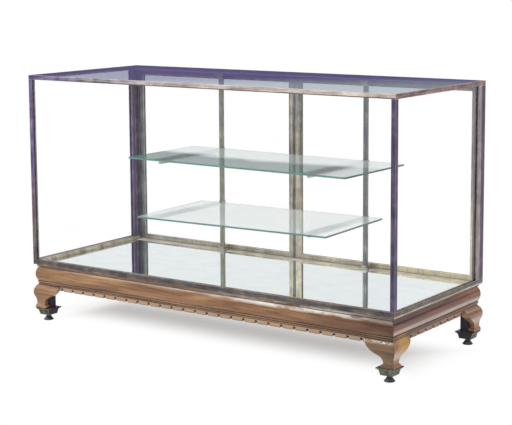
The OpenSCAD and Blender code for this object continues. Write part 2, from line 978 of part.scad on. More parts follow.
// The bolt lies on the back of the left door's meeting stile, drawn back clear
// of the keeper
fixing_t = 1.6;
bolt_rest = door_h - run;
bolt_foot = bolt_rest - bolt_l;
guide_h = 8;
low_guide = bolt_foot + bolt_travel + 2;
guides = [low_guide, bolt_rest - guide_h - 3];

module bolt_place() {
    door_place(false)
    translate([door_w - latch_inset, 0, 0])
    children();
}

// A staple round the bolt, seen from above
module loop_section() {
    translate([-plate_w / 2, seat]) square([plate_w, bolt_out]);
    translate([0, bolt_out]) circle(plate_w / 2);
}

module bolt_plate() {
    half = plate_w / 2;
    color("goldenrod")
    bolt_place()
    difference() {
        union() {
            block([-half, seat, low_guide - 3], [half, fixing_t, bolt_rest - 1]);
            for (z = guides)
                translate([0, 0, z])
                linear_extrude(guide_h)
                loop_section();
        }
        translate([0, bolt_out, -1]) cylinder(h = door_h + 2, r = bolt_r + bore_clear);
    }
}

module bolt_rod() {
    grip_z = low_guide + guide_h + 6;
    color("darkgoldenrod")
    bolt_place() {
        translate([0, bolt_out, bolt_foot]) cylinder(h = bolt_l, r = bolt_r);
        translate([0, bolt_out, grip_z]) rotate([-90, 0, 0]) cylinder(h = 6, r = 1.8);
        translate([0, bolt_out + 7, grip_z]) sphere(3.2);
    }
}

module bolt_keeper() {
    half = plate_w / 2 + 3;
    height = bar - 4;
    color("goldenrod")
    bolt_place()
    translate([0, 0, rail_z - z_door + 2])
    difference() {
        union() {
            block([-half, seat, 0], [half, fixing_t, height]);
            translate([0, 0, 1]) linear_extrude(height - 2) loop_section();
        }
        translate([0, bolt_out, -1]) cylinder(h = height + 2, r = bolt_r + run);
    }
}

// Standards and shelves

// Children are drawn round a standard's axis, +Y towards the back
module standard_place(x) {
    side(0)
    translate([case_w / 2 + x, standard_y, 0])
    children();
}

module tube_section(w, wall, r) {
    difference() {
        translate([-w / 2, -w / 2]) round_rect(w, w, r);
        square(w - 2 * wall, center = true);
    }
}

module standard(x) {
    color("darkgray")
    standard_place(x)
    translate([0, 0, z_threshold + seat])
    linear_extrude(ledge_z - z_threshold - 2 * seat)
    tube_section(standard_w, standard_wall, standard_r);
}

module standard_left() standard(-standard_pitch / 2);
module standard_right() standard(standard_pitch / 2);

module standard_flanges() {
    hole = standard_w + 2 * seat;
    color("gainsboro")
    for (x = [-1, 1] * standard_pitch / 2)
        standard_place(x) {
            translate([0, 0, z_threshold + seat]) {
                linear_extrude(flange_t) tube_section(flange_w, (flange_w - hole) / 2, 1);
                linear_extrude(flange_t + flange_step_h)
                tube_section(flange_socket_w, (flange_socket_w - hole) / 2, 1);
            }
            translate([0, 0, ledge_z - seat])
            mirror([0, 0, 1]) {
                linear_extrude(flange_t) tube_section(flange_w, (flange_w - hole) / 2, 1);
                linear_extrude(flange_t + flange_step_h)
                tube_section(flange_step_w, (flange_step_w - hole) / 2, 1);
                linear_extrude(flange_t + 2 * flange_step_h)
                tube_section(flange_socket_w, (flange_socket_w - hole) / 2, 1);
            }
        }
}

// The arm in profile, drawn from the tip towards the collar with the glass's
// underside at 0: straight on top, tapering to a round tip, with a cove where
// it runs into the collar
module arm_profile() {
    tip_r = arm_tip_h / 2;
    cove_x = arm_l - arm_cove;
    difference() {
        polygon([
            [tip_r, 0], [arm_l + 1, 0], [arm_l + 1, -arm_root_h], [cove_x, -arm_root_h],
            [cove_x, arm_cove - arm_root_h], [tip_r, -arm_tip_h]
        ]);
        translate([cove_x, -arm_root_h]) circle(arm_cove);
    }
    translate([tip_r, -tip_r]) circle(tip_r);
}

// A pair of brackets under the glass whose underside is at z
module brackets(z) {
    hole = standard_w + 2 * run;
    color("silver")
    for (x = [-1, 1] * standard_pitch / 2)
        standard_place(x)
        translate([0, 0, z]) {
            translate([0, 0, -collar_drop])
            linear_extrude(collar_h)
            tube_section(collar_w, collar_wall, 1.5);
            translate([-arm_t / 2, -collar_w / 2 - arm_l, 0]) run_x(arm_t) arm_profile();
        }
}

z_upper = z_sill + upper_rise - shelf_t;
z_lower = z_sill + lower_rise - shelf_t;

module brackets_upper() brackets(z_upper - seat);
module brackets_lower() brackets(z_lower - seat);

// A plate lying loose on its brackets, a little turned, with its back edge
// against the collar on the side that it is turned towards
module shelf(z, w, d, shift, turn) {
    reach = (standard_pitch + collar_w) / 2 - sign(turn) * shift;
    back = collar_front - pane_edge - reach * tan(abs(turn));
    color("paleturquoise", 0.6)
    side(0)
    translate([case_w / 2 + shift, back - d / 2 / cos(turn), z])
    rotate(turn)
    linear_extrude(shelf_t)
    translate([-w / 2, -d / 2])
    round_rect(w, d, shelf_r);
}

module shelf_upper() shelf(z_upper, upper_w, upper_d, upper_shift, upper_turn);
module shelf_lower() shelf(z_lower, lower_w, lower_d, lower_shift, lower_turn);

base_rail_front();
base_rail_right();
base_rail_back();
base_rail_left();
dentil_strips();
deck_board();
mirror_plate();
mirror_beads();
foot_front_left();
foot_front_right();
foot_back_right();
foot_back_left();
foot_blocks();
foot_shoes();
leveller_front_left();
leveller_front_right();
leveller_back_right();
leveller_back_left();
sill_front();
sill_right();
sill_left();
threshold();
post_front_left();
post_front_right();
post_back_right();
post_back_left();
top_rail_front();
top_rail_right();
top_rail_back();
top_rail_left();
glass_top();
glass_front();
glass_right();
glass_left();
glazing_beads();
door_stops();
door_frame_left();
door_frame_right();
door_glass_left();
door_glass_right();
door_beads_left();
door_beads_right();
hinge_post_leaves();
hinge_leaves_left();
hinge_leaves_right();
hinge_pins();
latch_knob();
latch_tongue();
bolt_plate();
bolt_rod();
bolt_keeper();
standard_left();
standard_right();
standard_flanges();
brackets_upper();
brackets_lower();
shelf_upper();
shelf_lower();
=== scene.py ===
import math

import bmesh
import bpy
from mathutils import Matrix, Vector


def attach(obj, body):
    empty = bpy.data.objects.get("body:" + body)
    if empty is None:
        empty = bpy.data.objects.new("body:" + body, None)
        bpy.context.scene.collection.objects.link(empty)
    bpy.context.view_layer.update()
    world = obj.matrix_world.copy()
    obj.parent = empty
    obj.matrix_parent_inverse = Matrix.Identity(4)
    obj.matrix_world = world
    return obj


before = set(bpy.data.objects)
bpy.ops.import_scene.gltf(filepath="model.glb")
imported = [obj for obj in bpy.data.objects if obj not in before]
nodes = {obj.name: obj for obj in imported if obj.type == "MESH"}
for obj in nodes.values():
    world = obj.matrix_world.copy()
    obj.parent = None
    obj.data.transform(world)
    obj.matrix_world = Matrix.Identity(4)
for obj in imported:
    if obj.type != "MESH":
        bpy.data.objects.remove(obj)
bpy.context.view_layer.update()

# The case in the row frame, in metres
CASE_X = 0.762
CASE_FRONT = -0.31725
CASE_BACK = 0.29675
CASE_MID_Y = (CASE_FRONT + CASE_BACK) / 2
CASE_DEPTH = CASE_BACK - CASE_FRONT
# The middle of the glass, and the spot on the floor under it
CASE_MIDDLE = (0, CASE_MID_Y, 0.56)
UNDER_CASE = (0, CASE_MID_Y, 0)
# The standards and the shelves' arms stand this far from the middle, and the standards this far back
ARM_X = 0.3175
STANDARD_Y = 0.25875

# ---------------------------------------------------------------- camera

# Fitted to the photograph: focal length and picture width in pixels, sensor in millimetres, place in
# metres, and yaw, pitch and roll in degrees
FOCAL_LENGTH = 1434.4
PICTURE_WIDTH = 512
SENSOR = 36
CAMERA_PLACE = (2.8938, -4.1077, 1.2947)
CAMERA_TURN = (-34.961, -7.726, -0.346)
CAMERA_SHIFT = -0.10

camera = bpy.data.objects.new("camera", bpy.data.cameras.new("camera"))
bpy.context.scene.collection.objects.link(camera)
bpy.context.scene.camera = camera
camera.data.sensor_width = SENSOR
camera.data.lens = FOCAL_LENGTH / PICTURE_WIDTH * SENSOR
camera.data.shift_y = CAMERA_SHIFT
yaw, pitch, roll = (math.radians(a) for a in CAMERA_TURN)
ahead = Vector((math.sin(yaw) * math.cos(pitch), math.cos(yaw) * math.cos(pitch), math.sin(pitch)))
right = Vector((math.cos(yaw), -math.sin(yaw), 0))
up = right.cross(ahead)
right, up = right * math.cos(roll) + up * math.sin(roll), up * math.cos(roll) - right * math.sin(roll)
camera.matrix_world = Matrix.Translation(CAMERA_PLACE) @ Matrix((right, up, -ahead)).transposed().to_4x4()
bpy.context.scene.view_settings.view_transform = "Standard"

# ---------------------------------------------------------------- shader helpers


def paint(code):
    """An sRGB colour such as "#7A4B2C" as linear red, green, blue and alpha."""
    shares = [int(code[i:i + 2], 16) / 255 for i in (1, 3, 5)]
    return (*(c / 12.92 if c <= 0.04045 else ((c + 0.055) / 1.055) ** 2.4 for c in shares), 1.0)


def add(tree, kind, inputs=None, stops=None, **settings):
    """Adds one node. inputs are sockets to link or values to set, by name or number, settings are its
    options, stops the places and colours of its ramp. Colours are sRGB codes."""
    node = tree.nodes.new(kind)
    for name, value in settings.items():
        setattr(node, name, value)
    for key, value in (inputs or {}).items():
        if isinstance(value, bpy.types.NodeSocket):
            tree.links.new(value, node.inputs[key])
        else:
            node.inputs[key].default_value = paint(value) if isinstance(value, str) else value
    if stops:
        ramp = node.color_ramp
        while len(ramp.elements) < len(stops):
            ramp.elements.new(1.0)
        for element, (place, colour) in zip(ramp.elements, stops):
            element.position = place
            element.color = paint(colour)
    return node


def mask(tree, *limits):
    """A share, the product of its limits. A limit is a share, or a value with where it starts, where
    it is full and, when they aren't 0 and 1, the shares there."""
    share = None
    for limit in limits:
        if isinstance(limit, tuple):
            limit = add(tree, "ShaderNodeMapRange", dict(enumerate(limit))).outputs[0]
        if share is None:
            share = limit
        else:
            share = add(tree, "ShaderNodeMath", {0: share, 1: limit}, operation="MULTIPLY").outputs[0]
    return share


def layers(tree, colour, *coats):
    """Lays coats over a colour, from the first up. A coat is its share and its colour, and "MULTIPLY"
    for one that stains what lies under it."""
    for share, over, *way in coats:
        colour = add(tree, "ShaderNodeMix", {0: share, 6: colour, 7: over}, data_type="RGBA",
                     blend_type=way[0] if way else "MIX").outputs[2]
    return colour


def material(name):
    """An empty node material, its tree and its output node."""
    made = bpy.data.materials.new(name)
    made.use_nodes = True
    made.node_tree.nodes.clear()
    return made, made.node_tree, made.node_tree.nodes.new("ShaderNodeOutputMaterial")


def arrises(tree, radius):
    """A normal rounded over the edges, and a share that is 1 on sharp outer edges and 0 elsewhere."""
    rounded = add(tree, "ShaderNodeBevel", {"Radius": radius}, samples=6).outputs[0]
    true = add(tree, "ShaderNodeNewGeometry").outputs["Normal"]
    same = add(tree, "ShaderNodeVectorMath", {0: rounded, 1: true},
               operation="DOT_PRODUCT").outputs["Value"]
    open_air = add(tree, "ShaderNodeAmbientOcclusion", {"Distance": 2 * radius}, samples=6).outputs["AO"]
    return rounded, mask(tree, (same, 0.99, 0.88), (open_air, 0.62, 0.80))


def hollow_shade(tree, reach, most, start=0.35, end=0.75, samples=6):
    """A share of painted shade, with dirt: most in recesses that are narrower than reach, none on open
    faces.
    """
    open_air = add(tree, "ShaderNodeAmbientOcclusion", {"Distance": reach}, samples=samples).outputs["AO"]
    return mask(tree, (open_air, start, end, most, 0.0))


def looking_out(tree, middle):
    """A value above 0 on faces that look away from a middle, and below 0 on those that look at it."""
    coords = add(tree, "ShaderNodeTexCoord")
    from_middle = add(tree, "ShaderNodeVectorMath", {0: coords.outputs["Object"], 1: middle},
                      operation="SUBTRACT").outputs[0]
    return add(tree, "ShaderNodeVectorMath", {0: coords.outputs["Normal"], 1: from_middle},
               operation="DOT_PRODUCT").outputs["Value"]


# ---------------------------------------------------------------- finishes

# Places on the base, in metres. Each pair is where a tone starts and where it is full.
RAILS_FOOT = (0.136, 0.139)
BAND_FOOT = (0.149, 0.157)
BAND_TOP = (0.171, 0.163)
NECK_FOOT = (0.072, 0.080)
NECK_TOP = (0.108, 0.092)
ROLL_CROWN = (0.1860, 0.1930)
LIP_FOOT = (0.1265, 0.1285)
LIP_TOP = (0.1335, 0.1315)
TEETH_FOOT = (0.1220, 0.1235)
TEETH_TOP = (0.1355, 0.1340)
TEETH_END = (0.647, 0.645)
RIGHT_FOOT = (0.640, 0.650)
RIGHT_PART = (0.30, 0.74)
GLINT_LEFT = (0.0, 0.25)
GLINT_RIGHT = (0.68, 0.56)
WING_INSIDE = (0.0262, 0.0268)
FEET_TOP = (0.1375, 0.1365)
# The fillets and their quirks lie between these heights
FILLETS = (0.130, 0.150)
# The yellow patch's middle on the front right foot's side, and the olive one's on its front
YELLOW_PATCH = (0.757, -0.25, 0.118)
OLIVE_PATCH = (0.70, CASE_FRONT, 0.095)
# The radius that handling has given the arrises of wood and bars, in metres
ARRIS = 0.0014
# A face looks along an axis from the first of these shares of its normal to the second
FACING = (0.5, 0.6)


def french_polished_mahogany():
    """Mahogany, moulded on the spindle, given a golden-brown stain and French polished. Dark pore lines
    run along each rail with a wandering ribbon figure, and the right side takes a redder stain.
    Painted shade, with dirt, darkens the quirks, and painted shade makes the feet's inner faces nearly
    black. Painted highlights lighten the arrises, along with wear, a band low on the end rolls, and
    white glints along the roll's crown near the right corner and on the front right foot's lip. The
    coat is glossy where it is whole and dull where it is worn."""
    made, tree, out = material("french_polished_mahogany")
    place = add(tree, "ShaderNodeTexCoord").outputs["Object"]
    x, y, z = add(tree, "ShaderNodeSeparateXYZ", {0: place}).outputs
    from_mid = add(tree, "ShaderNodeMath", {0: y, 1: CASE_MID_Y}, operation="SUBTRACT").outputs[0]
    across = add(tree, "ShaderNodeMath", {0: x}, operation="ABSOLUTE").outputs[0]
    deep = add(tree, "ShaderNodeMath", {0: from_mid}, operation="ABSOLUTE").outputs[0]
    from_end = add(tree, "ShaderNodeMath", {0: CASE_X, 1: across}, operation="SUBTRACT").outputs[0]
    from_face = add(tree, "ShaderNodeMath", {0: CASE_DEPTH / 2, 1: deep}, operation="SUBTRACT").outputs[0]
    # Both distances are the same on the mitre line. Nearer the front or back the grain runs along X
    past_mitre = add(tree, "ShaderNodeMath", {0: from_end, 1: from_face}, operation="SUBTRACT").outputs[0]
    off_mitre = add(tree, "ShaderNodeMath", {0: past_mitre}, operation="ABSOLUTE").outputs[0]
    long_rail = add(tree, "ShaderNodeMath", {0: past_mitre, 1: 0.0}, operation="GREATER_THAN").outputs[0]
    along_y = add(tree, "ShaderNodeCombineXYZ", {0: y, 1: x, 2: z}).outputs[0]
    run = add(tree, "ShaderNodeMix", {0: long_rail, 4: along_y, 5: place}, data_type="VECTOR").outputs[1]
    on_front = mask(tree, (past_mitre, 0.0, 0.004))
    on_end = mask(tree, (past_mitre, 0.002, -0.002))
    # The feet's inner faces, 27 mm in from the case's faces
    behind = add(tree, "ShaderNodeMath", {0: from_end, 1: from_face}, operation="MINIMUM").outputs[0]
    inner = mask(tree, (behind, *WING_INSIDE), (z, *FEET_TOP))

    # Pores are 0.3 mm wide and 10 mm long; drawn 2 mm wide and 80 mm long, so that they show
    pore_place = add(tree, "ShaderNodeMapping", {0: run, 3: (0.025, 1.0, 1.0)}).outputs[0]
    pores = add(tree, "ShaderNodeTexNoise", {
        0: pore_place, "Scale": 460.0, "Detail": 4.0, "Roughness": 0.62}).outputs[0]
    # Ribbon figure: bands 20 mm wide and 250 mm long
    ribbon_place = add(tree, "ShaderNodeMapping", {0: run, 3: (0.08, 1.0, 1.0)}).outputs[0]
    ribbon = add(tree, "ShaderNodeTexNoise", {
        0: ribbon_place, "Scale": 46.0, "Detail": 4.0, "Distortion": 0.5}).outputs[0]
    # Wear comes in clouds 140 mm wide, painted glints in streaks of 17 by 55 mm and in spots of 8 mm
    cloud = add(tree, "ShaderNodeTexNoise", {0: place, "Scale": 7.0, "Detail": 3.0}).outputs[0]
    glint_place = add(tree, "ShaderNodeMapping", {0: place, 3: (0.3, 1.0, 1.0)}).outputs[0]
    bloom_and_glint_noise = add(tree, "ShaderNodeTexNoise", {0: glint_place, "Scale": 60.0, "Detail": 3.0}).outputs[0]
    glint_chips = add(tree, "ShaderNodeTexNoise", {0: place, "Scale": 130.0, "Detail": 2.0}).outputs[0]

    lines = add(tree, "ShaderNodeValToRGB", {0: pores}, [
        (0.34, "#B0A298"), (0.50, "#F2EEEA"), (0.66, "#FFFFFF")]).outputs[0]
    golden = add(tree, "ShaderNodeValToRGB", {0: ribbon}, [
        (0.28, "#755035"), (0.44, "#976B48"), (0.58, "#B2865C"), (0.74, "#CAA276")]).outputs[0]
    russet = add(tree, "ShaderNodeValToRGB", {0: ribbon}, [
        (0.28, "#40241B"), (0.42, "#663420"), (0.56, "#854424"), (0.74, "#A26E46")]).outputs[0]
    olive = add(tree, "ShaderNodeValToRGB", {0: ribbon}, [
        (0.28, "#4C3C2C"), (0.50, "#7C6244"), (0.74, "#A8906A")]).outputs[0]
    # Painted shade: dark lines in the quirks between the fillets
    quirk_shade = add(tree, "ShaderNodeValToRGB", {0: mask(tree, (z, *FILLETS))}, [
        (0.22, "#FFFFFF"), (0.30, "#5A4238"), (0.37, "#5A4238"), (0.44, "#FFFFFF"),
        (0.52, "#FFFFFF"), (0.58, "#5A4238"), (0.68, "#5A4238"), (0.75, "#FFFFFF"),
        (0.88, "#FFFFFF"), (0.94, "#6E5446"), (1.0, "#FFFFFF")]).outputs[0]
    to_yellow_patch = add(tree, "ShaderNodeVectorMath", {0: place, 1: YELLOW_PATCH}, operation="DISTANCE")
    to_olive = add(tree, "ShaderNodeVectorMath", {0: place, 1: OLIVE_PATCH}, operation="DISTANCE")
    bands = add(tree, "ShaderNodeMath", {
        0: mask(tree, (z, *BAND_FOOT), (z, *BAND_TOP)),
        1: mask(tree, (z, *NECK_FOOT), (z, *NECK_TOP))}, operation="MAXIMUM").outputs[0]
    rounded, pale_arrises = arrises(tree, ARRIS)

    wood = layers(tree, golden, (1.0, lines, "MULTIPLY"))
    colour_with_painted_light = layers(
        tree, wood,
        # The stain deepens towards the front's right end, and is redder on the two end rails
        (mask(tree, (x, *RIGHT_PART)), layers(tree, wood, (1.0, "#A0847A", "MULTIPLY"))),
        (on_end, layers(tree, wood, (1.0, "#FFF2E6", "MULTIPLY"))),
        (mask(tree, on_end, (z, *RAILS_FOOT)), layers(tree, russet, (1.0, lines, "MULTIPLY"))),
        # A painted highlight: a pale band low on the end rolls. The same pale colour bands the feet's necks
        (mask(tree, bands, (cloud, 0.3, 0.6, 0.55, 0.9), on_end), "#C9B3A4"),
        # A yellow patch on the side of the front right foot
        (mask(tree, (to_yellow_patch.outputs["Value"], 0.050, 0.022, 0.0, 0.75), on_end), "#C8963E"),
        # The front of that foot is olive brown in a patch
        (mask(tree, (to_olive.outputs["Value"], 0.085, 0.050, 0.0, 0.6), long_rail), olive),
        # Painted glints: broken white streaks on the crown of the front roll
        (mask(tree, (z, *ROLL_CROWN), (x, *GLINT_LEFT), (x, *GLINT_RIGHT, 0.25), (bloom_and_glint_noise, 0.38, 0.54),
              on_front), "#E2DACE"),
        # Painted glints: white spots along the upper lip of the front right foot
        (mask(tree, (z, *LIP_FOOT), (z, *LIP_TOP), (x, *RIGHT_FOOT), on_front,
              (glint_chips, 0.46, 0.60, 0.0, 0.9)), "#F2EAE0"),
        # The front dentils are paler, and the quirks between the fillets take painted shade
        (mask(tree, (z, *TEETH_FOOT, 0.0, 0.55), (z, *TEETH_TOP), (across, *TEETH_END), on_front),
         "#D0B69C"),
        (1.0, quirk_shade, "MULTIPLY"),
        # Painted shade, with dirt, in the quirks and under the fillets, and a painted highlight, with
        # rubbing, on the arrises
        (hollow_shade(tree, 0.010, 0.9, start=0.30, end=0.78, samples=8), "#26160F"),
        (mask(tree, pale_arrises, 0.55), "#D2B391"),
        # The mitre joint is a dark hairline, drawn 1.2 mm wide
        (mask(tree, (off_mitre, 0.0004, 0.0012, 0.8, 0.0)), "#241410"),
        # The feet's inner faces are painted nearly black as shade, and have no polish
        (inner, "#1C1730"),
    )
    polish = add(tree, "ShaderNodeMapRange", {0: cloud, 1: 0.3, 2: 0.7, 3: 0.20, 4: 0.40}).outputs[0]
    rough = add(tree, "ShaderNodeMix", {0: inner, 2: polish, 3: 0.85}).outputs[0]
    coat = add(tree, "ShaderNodeMapRange", {0: inner, 3: 0.35, 4: 0.0}).outputs[0]
    gloss = add(tree, "ShaderNodeMapRange", {0: inner, 3: 0.35, 4: 0.1}).outputs[0]
    bump = add(tree, "ShaderNodeBump", {
        "Strength": 0.25, "Distance": 0.0004, "Height": pores, "Normal": rounded}).outputs[0]
    shader = add(tree, "ShaderNodeBsdfPrincipled", {
        "Base Color": colour_with_painted_light, "Roughness": rough, "Specular IOR Level": gloss, "Normal": bump,
        "Coat Weight": coat, "Coat Roughness": 0.08,
    })
    tree.links.new(shader.outputs[0], out.inputs[0])
    return made


def sawn_pine():
    """Pine board, sawn and left bare under the case: pale yellow-brown gone grey with dust, with
    dark late-wood lines a few millimetres apart and fine saw marks across them."""
    made, tree, out = material("sawn_pine")
    place = add(tree, "ShaderNodeTexCoord").outputs["Object"]
    stretched = add(tree, "ShaderNodeMapping", {0: place, 3: (0.06, 1.0, 1.0)}).outputs[0]
    # Late wood lies 8 mm apart, dust in patches of 110 mm and saw marks 2 mm apart
    rings = add(tree, "ShaderNodeTexWave", {
        0: stretched, "Scale": 40.0, "Distortion": 6.0, "Detail": 3.0}, bands_direction="Y").outputs[1]
    wood = add(tree, "ShaderNodeValToRGB", {0: rings}, [
        (0.0, "#7E6346"), (0.35, "#A58A64"), (1.0, "#BCA37A")]).outputs[0]
    dust = add(tree, "ShaderNodeTexNoise", {0: place, "Scale": 9.0, "Detail": 4.0}).outputs[0]
    saw = add(tree, "ShaderNodeTexWave", {0: place, "Scale": 160.0, "Distortion": 1.5},
              bands_direction="X").outputs[1]
    bump = add(tree, "ShaderNodeBump", {"Strength": 0.3, "Distance": 0.0004, "Height": saw}).outputs[0]
    shader = add(tree, "ShaderNodeBsdfPrincipled", {
        "Base Color": layers(tree, wood, (dust, "#8A7D6C")), "Roughness": 0.85, "Normal": bump})
    tree.links.new(shader.outputs[0], out.inputs[0])
    return made


def silvered_plate_glass():
    """Plate glass silvered on its back: a nearly perfect mirror, a little green-grey, with a very
    slight waviness and a few faint cloudy spots where the silver has aged."""
    made, tree, out = material("silvered_plate_glass")
    place = add(tree, "ShaderNodeTexCoord").outputs["Object"]
    # The clouds in the silver are 70 mm wide, the waves of the plate 200 mm
    age = add(tree, "ShaderNodeTexNoise", {
        0: place, "Scale": 14.0, "Detail": 5.0, "Roughness": 0.6}).outputs[0]
    colour = add(tree, "ShaderNodeValToRGB", {0: age}, [
        (0.30, "#CFDADA"), (0.52, "#D7E0E1"), (1.0, "#DDE5E5")]).outputs[0]
    wave = add(tree, "ShaderNodeTexNoise", {0: place, "Scale": 5.0, "Detail": 1.0}).outputs[0]
    bump = add(tree, "ShaderNodeBump", {"Strength": 0.05, "Distance": 0.0004, "Height": wave}).outputs[0]
    rough = add(tree, "ShaderNodeMapRange", {0: age, 1: 0.35, 2: 0.65, 3: 0.022, 4: 0.006}).outputs[0]
    shader = add(tree, "ShaderNodeBsdfPrincipled", {
        "Base Color": colour, "Metallic": 1.0, "Roughness": rough, "Normal": bump})
    tree.links.new(shader.outputs[0], out.inputs[0])
    return made


def drawn_surface(tree, wave, smears):
    """The slow ripple of drawing as a bump, and the roughness of thin smears of polish."""
    place = add(tree, "ShaderNodeTexCoord").outputs["Object"]
    # Ripples are 170 mm wide, smears 60 mm
    ripple = add(tree, "ShaderNodeTexNoise", {0: place, "Scale": 6.0, "Detail": 1.0}).outputs[0]
    bump = add(tree, "ShaderNodeBump", {"Strength": wave, "Distance": 0.0003, "Height": ripple}).outputs[0]
    smear = add(tree, "ShaderNodeTexNoise", {
        0: place, "Scale": 16.0, "Detail": 6.0, "Distortion": 1.5}).outputs[0]
    rough = add(tree, "ShaderNodeMapRange", {0: smear, 1: 0.50, 2: 0.85, 3: 0.0, 4: smears}).outputs[0]
    return bump, rough


def sheet_glass(name, tint, smears, wave):
    """Drawn sheet glass, too thin to bend what is seen through it: clear with a faint tint, and as
    glossy as the angle makes it. The slow ripple of drawing and thin smears of polish only show in
    its reflections. The face that is met first gives the whole pane's reflection, and dust dulls
    the faces inside the case. smears is the roughness that they have, wave the ripple's strength."""
    made, tree, out = material(name)
    bump, rough = drawn_surface(tree, wave, smears)
    shine = add(tree, "ShaderNodeBsdfPrincipled", {
        "Base Color": "#FFFFFF", "Metallic": 1.0, "Roughness": rough, "Normal": bump})
    clear = add(tree, "ShaderNodeBsdfTransparent", {0: tint})
    angle = add(tree, "ShaderNodeFresnel", {"IOR": 1.5, "Normal": bump}).outputs[0]
    share = mask(tree, angle, (looking_out(tree, CASE_MIDDLE), -0.1, 0.1, 0.12, 1.0))
    ray = add(tree, "ShaderNodeLightPath")
    inside = add(tree, "ShaderNodeNewGeometry").outputs["Backfacing"]
    for off in (ray.outputs["Is Shadow Ray"], ray.outputs["Is Diffuse Ray"], inside):
        on = add(tree, "ShaderNodeMath", {0: 1.0, 1: off}, operation="SUBTRACT").outputs[0]
        share = mask(tree, share, on)
    whole = add(tree, "ShaderNodeMixShader", {0: share, 1: clear.outputs[0], 2: shine.outputs[0]})
    tree.links.new(whole.outputs[0], out.inputs[0])
    return made


# Places on the shelves, in metres, as pairs again: the painted reflection's edge, a painted arm
# shadow's edge from its middle, the part past the right shadow, and the shelves' ends
STRIP_SHIFT = 0.020
REFLECTION_EDGE = (0.10, 0.03)
STRIP_EDGE = (0.044, 0.024)
PAST_STRIP = (0.345, 0.42)
SHELF_ENDS = (-0.45, 0.45)


def shelf_plate_glass(name, front_reflection, back_film, arm_shadow_colour, front_reflection_share, back_share):
    """Plate glass with ground and polished edges. The iron in it tints light that runs along the
    plate, so the edges are sea green, and their ends take painted shade. A layer of dust and polish
    lies on top, a painted reflection lies over the front half, and a painted shadow lies along each
    arm under the plate. These are colours, the shares how much of the glass they hide."""
    made, tree, out = material(name)
    bump, rough = drawn_surface(tree, wave=0.08, smears=0.02)
    body = add(tree, "ShaderNodeBsdfPrincipled", {
        "Base Color": "#FBFEFD", "Roughness": rough, "Transmission Weight": 1.0, "IOR": 1.5,
        "Normal": bump}).outputs[0]
    clear = add(tree, "ShaderNodeBsdfTransparent", {0: "#FBFEFD"}).outputs[0]
    ray = add(tree, "ShaderNodeLightPath")
    unseen = add(tree, "ShaderNodeMath", {
        0: ray.outputs["Is Shadow Ray"], 1: ray.outputs["Is Diffuse Ray"]}, operation="MAXIMUM").outputs[0]
    glass = add(tree, "ShaderNodeMixShader", {0: unseen, 1: body, 2: clear}).outputs[0]
    coords = add(tree, "ShaderNodeTexCoord")
    x, y = add(tree, "ShaderNodeSeparateXYZ", {0: coords.outputs["Object"]}).outputs[:2]
    side = add(tree, "ShaderNodeSeparateXYZ", {0: coords.outputs["Normal"]}).outputs
    # The painted reflection on the front half ends in a bow near the middle of the depth, which wavers
    # every 140 mm
    drift = add(tree, "ShaderNodeTexNoise", {
        0: coords.outputs["Object"], "Scale": 7.0, "Detail": 2.0}).outputs[0]
    across = add(tree, "ShaderNodeMath", {0: x}, operation="ABSOLUTE").outputs[0]
    bowed = add(tree, "ShaderNodeMath", {0: across, 1: -0.12, 2: y}, operation="MULTIPLY_ADD").outputs[0]
    uneven = add(tree, "ShaderNodeMath", {0: drift, 1: 0.07, 2: bowed}, operation="MULTIPLY_ADD").outputs[0]
    front = mask(tree, (uneven, *REFLECTION_EDGE))
    # The painted shadows along the arms lie a little to the right of them
    from_strips = add(tree, "ShaderNodeMath", {0: x, 1: STRIP_SHIFT}, operation="SUBTRACT").outputs[0]
    outwards = add(tree, "ShaderNodeMath", {0: from_strips}, operation="ABSOLUTE").outputs[0]
    past_arm = add(tree, "ShaderNodeMath", {0: outwards, 1: ARM_X}, operation="SUBTRACT").outputs[0]
    off_arm = add(tree, "ShaderNodeMath", {0: past_arm}, operation="ABSOLUTE").outputs[0]
    arm_shadow = mask(tree, (off_arm, *STRIP_EDGE, 0.0, 0.8), front)
    tone = layers(tree, back_film, (front, front_reflection), (arm_shadow, arm_shadow_colour))
    film_and_painted_light = add(tree, "ShaderNodeBsdfDiffuse", {0: tone}).outputs[0]
    front_reflection_across = mask(tree, (x, *SHELF_ENDS, front_reflection_share, 0.84 * front_reflection_share), (x, *PAST_STRIP, 1.0, 0.55))
    even = add(tree, "ShaderNodeMix", {0: front, 2: back_share, 3: front_reflection_across}).outputs[0]
    thick = add(tree, "ShaderNodeMath", {0: arm_shadow, 1: 0.2, 2: even}, operation="MULTIPLY_ADD").outputs[0]
    on_top = mask(tree, (side[2], *FACING), thick)
    filmed = add(tree, "ShaderNodeMixShader", {0: on_top, 1: glass, 2: film_and_painted_light}).outputs[0]
    # The edges' ends are painted darker: painted shade
    end = add(tree, "ShaderNodeMath", {0: side[0]}, operation="ABSOLUTE").outputs[0]
    green = layers(tree, "#4F8880", (mask(tree, (end, 0.3, 0.8)), "#3A585E"))
    edge = add(tree, "ShaderNodeBsdfPrincipled", {"Base Color": green, "Roughness": 0.12}).outputs[0]
    level = add(tree, "ShaderNodeMath", {0: side[2]}, operation="ABSOLUTE").outputs[0]
    whole = add(tree, "ShaderNodeMixShader", {0: mask(tree, (level, 0.6, 0.4)), 1: filmed, 2: edge})
    tree.links.new(whole.outputs[0], out.inputs[0])
    return made


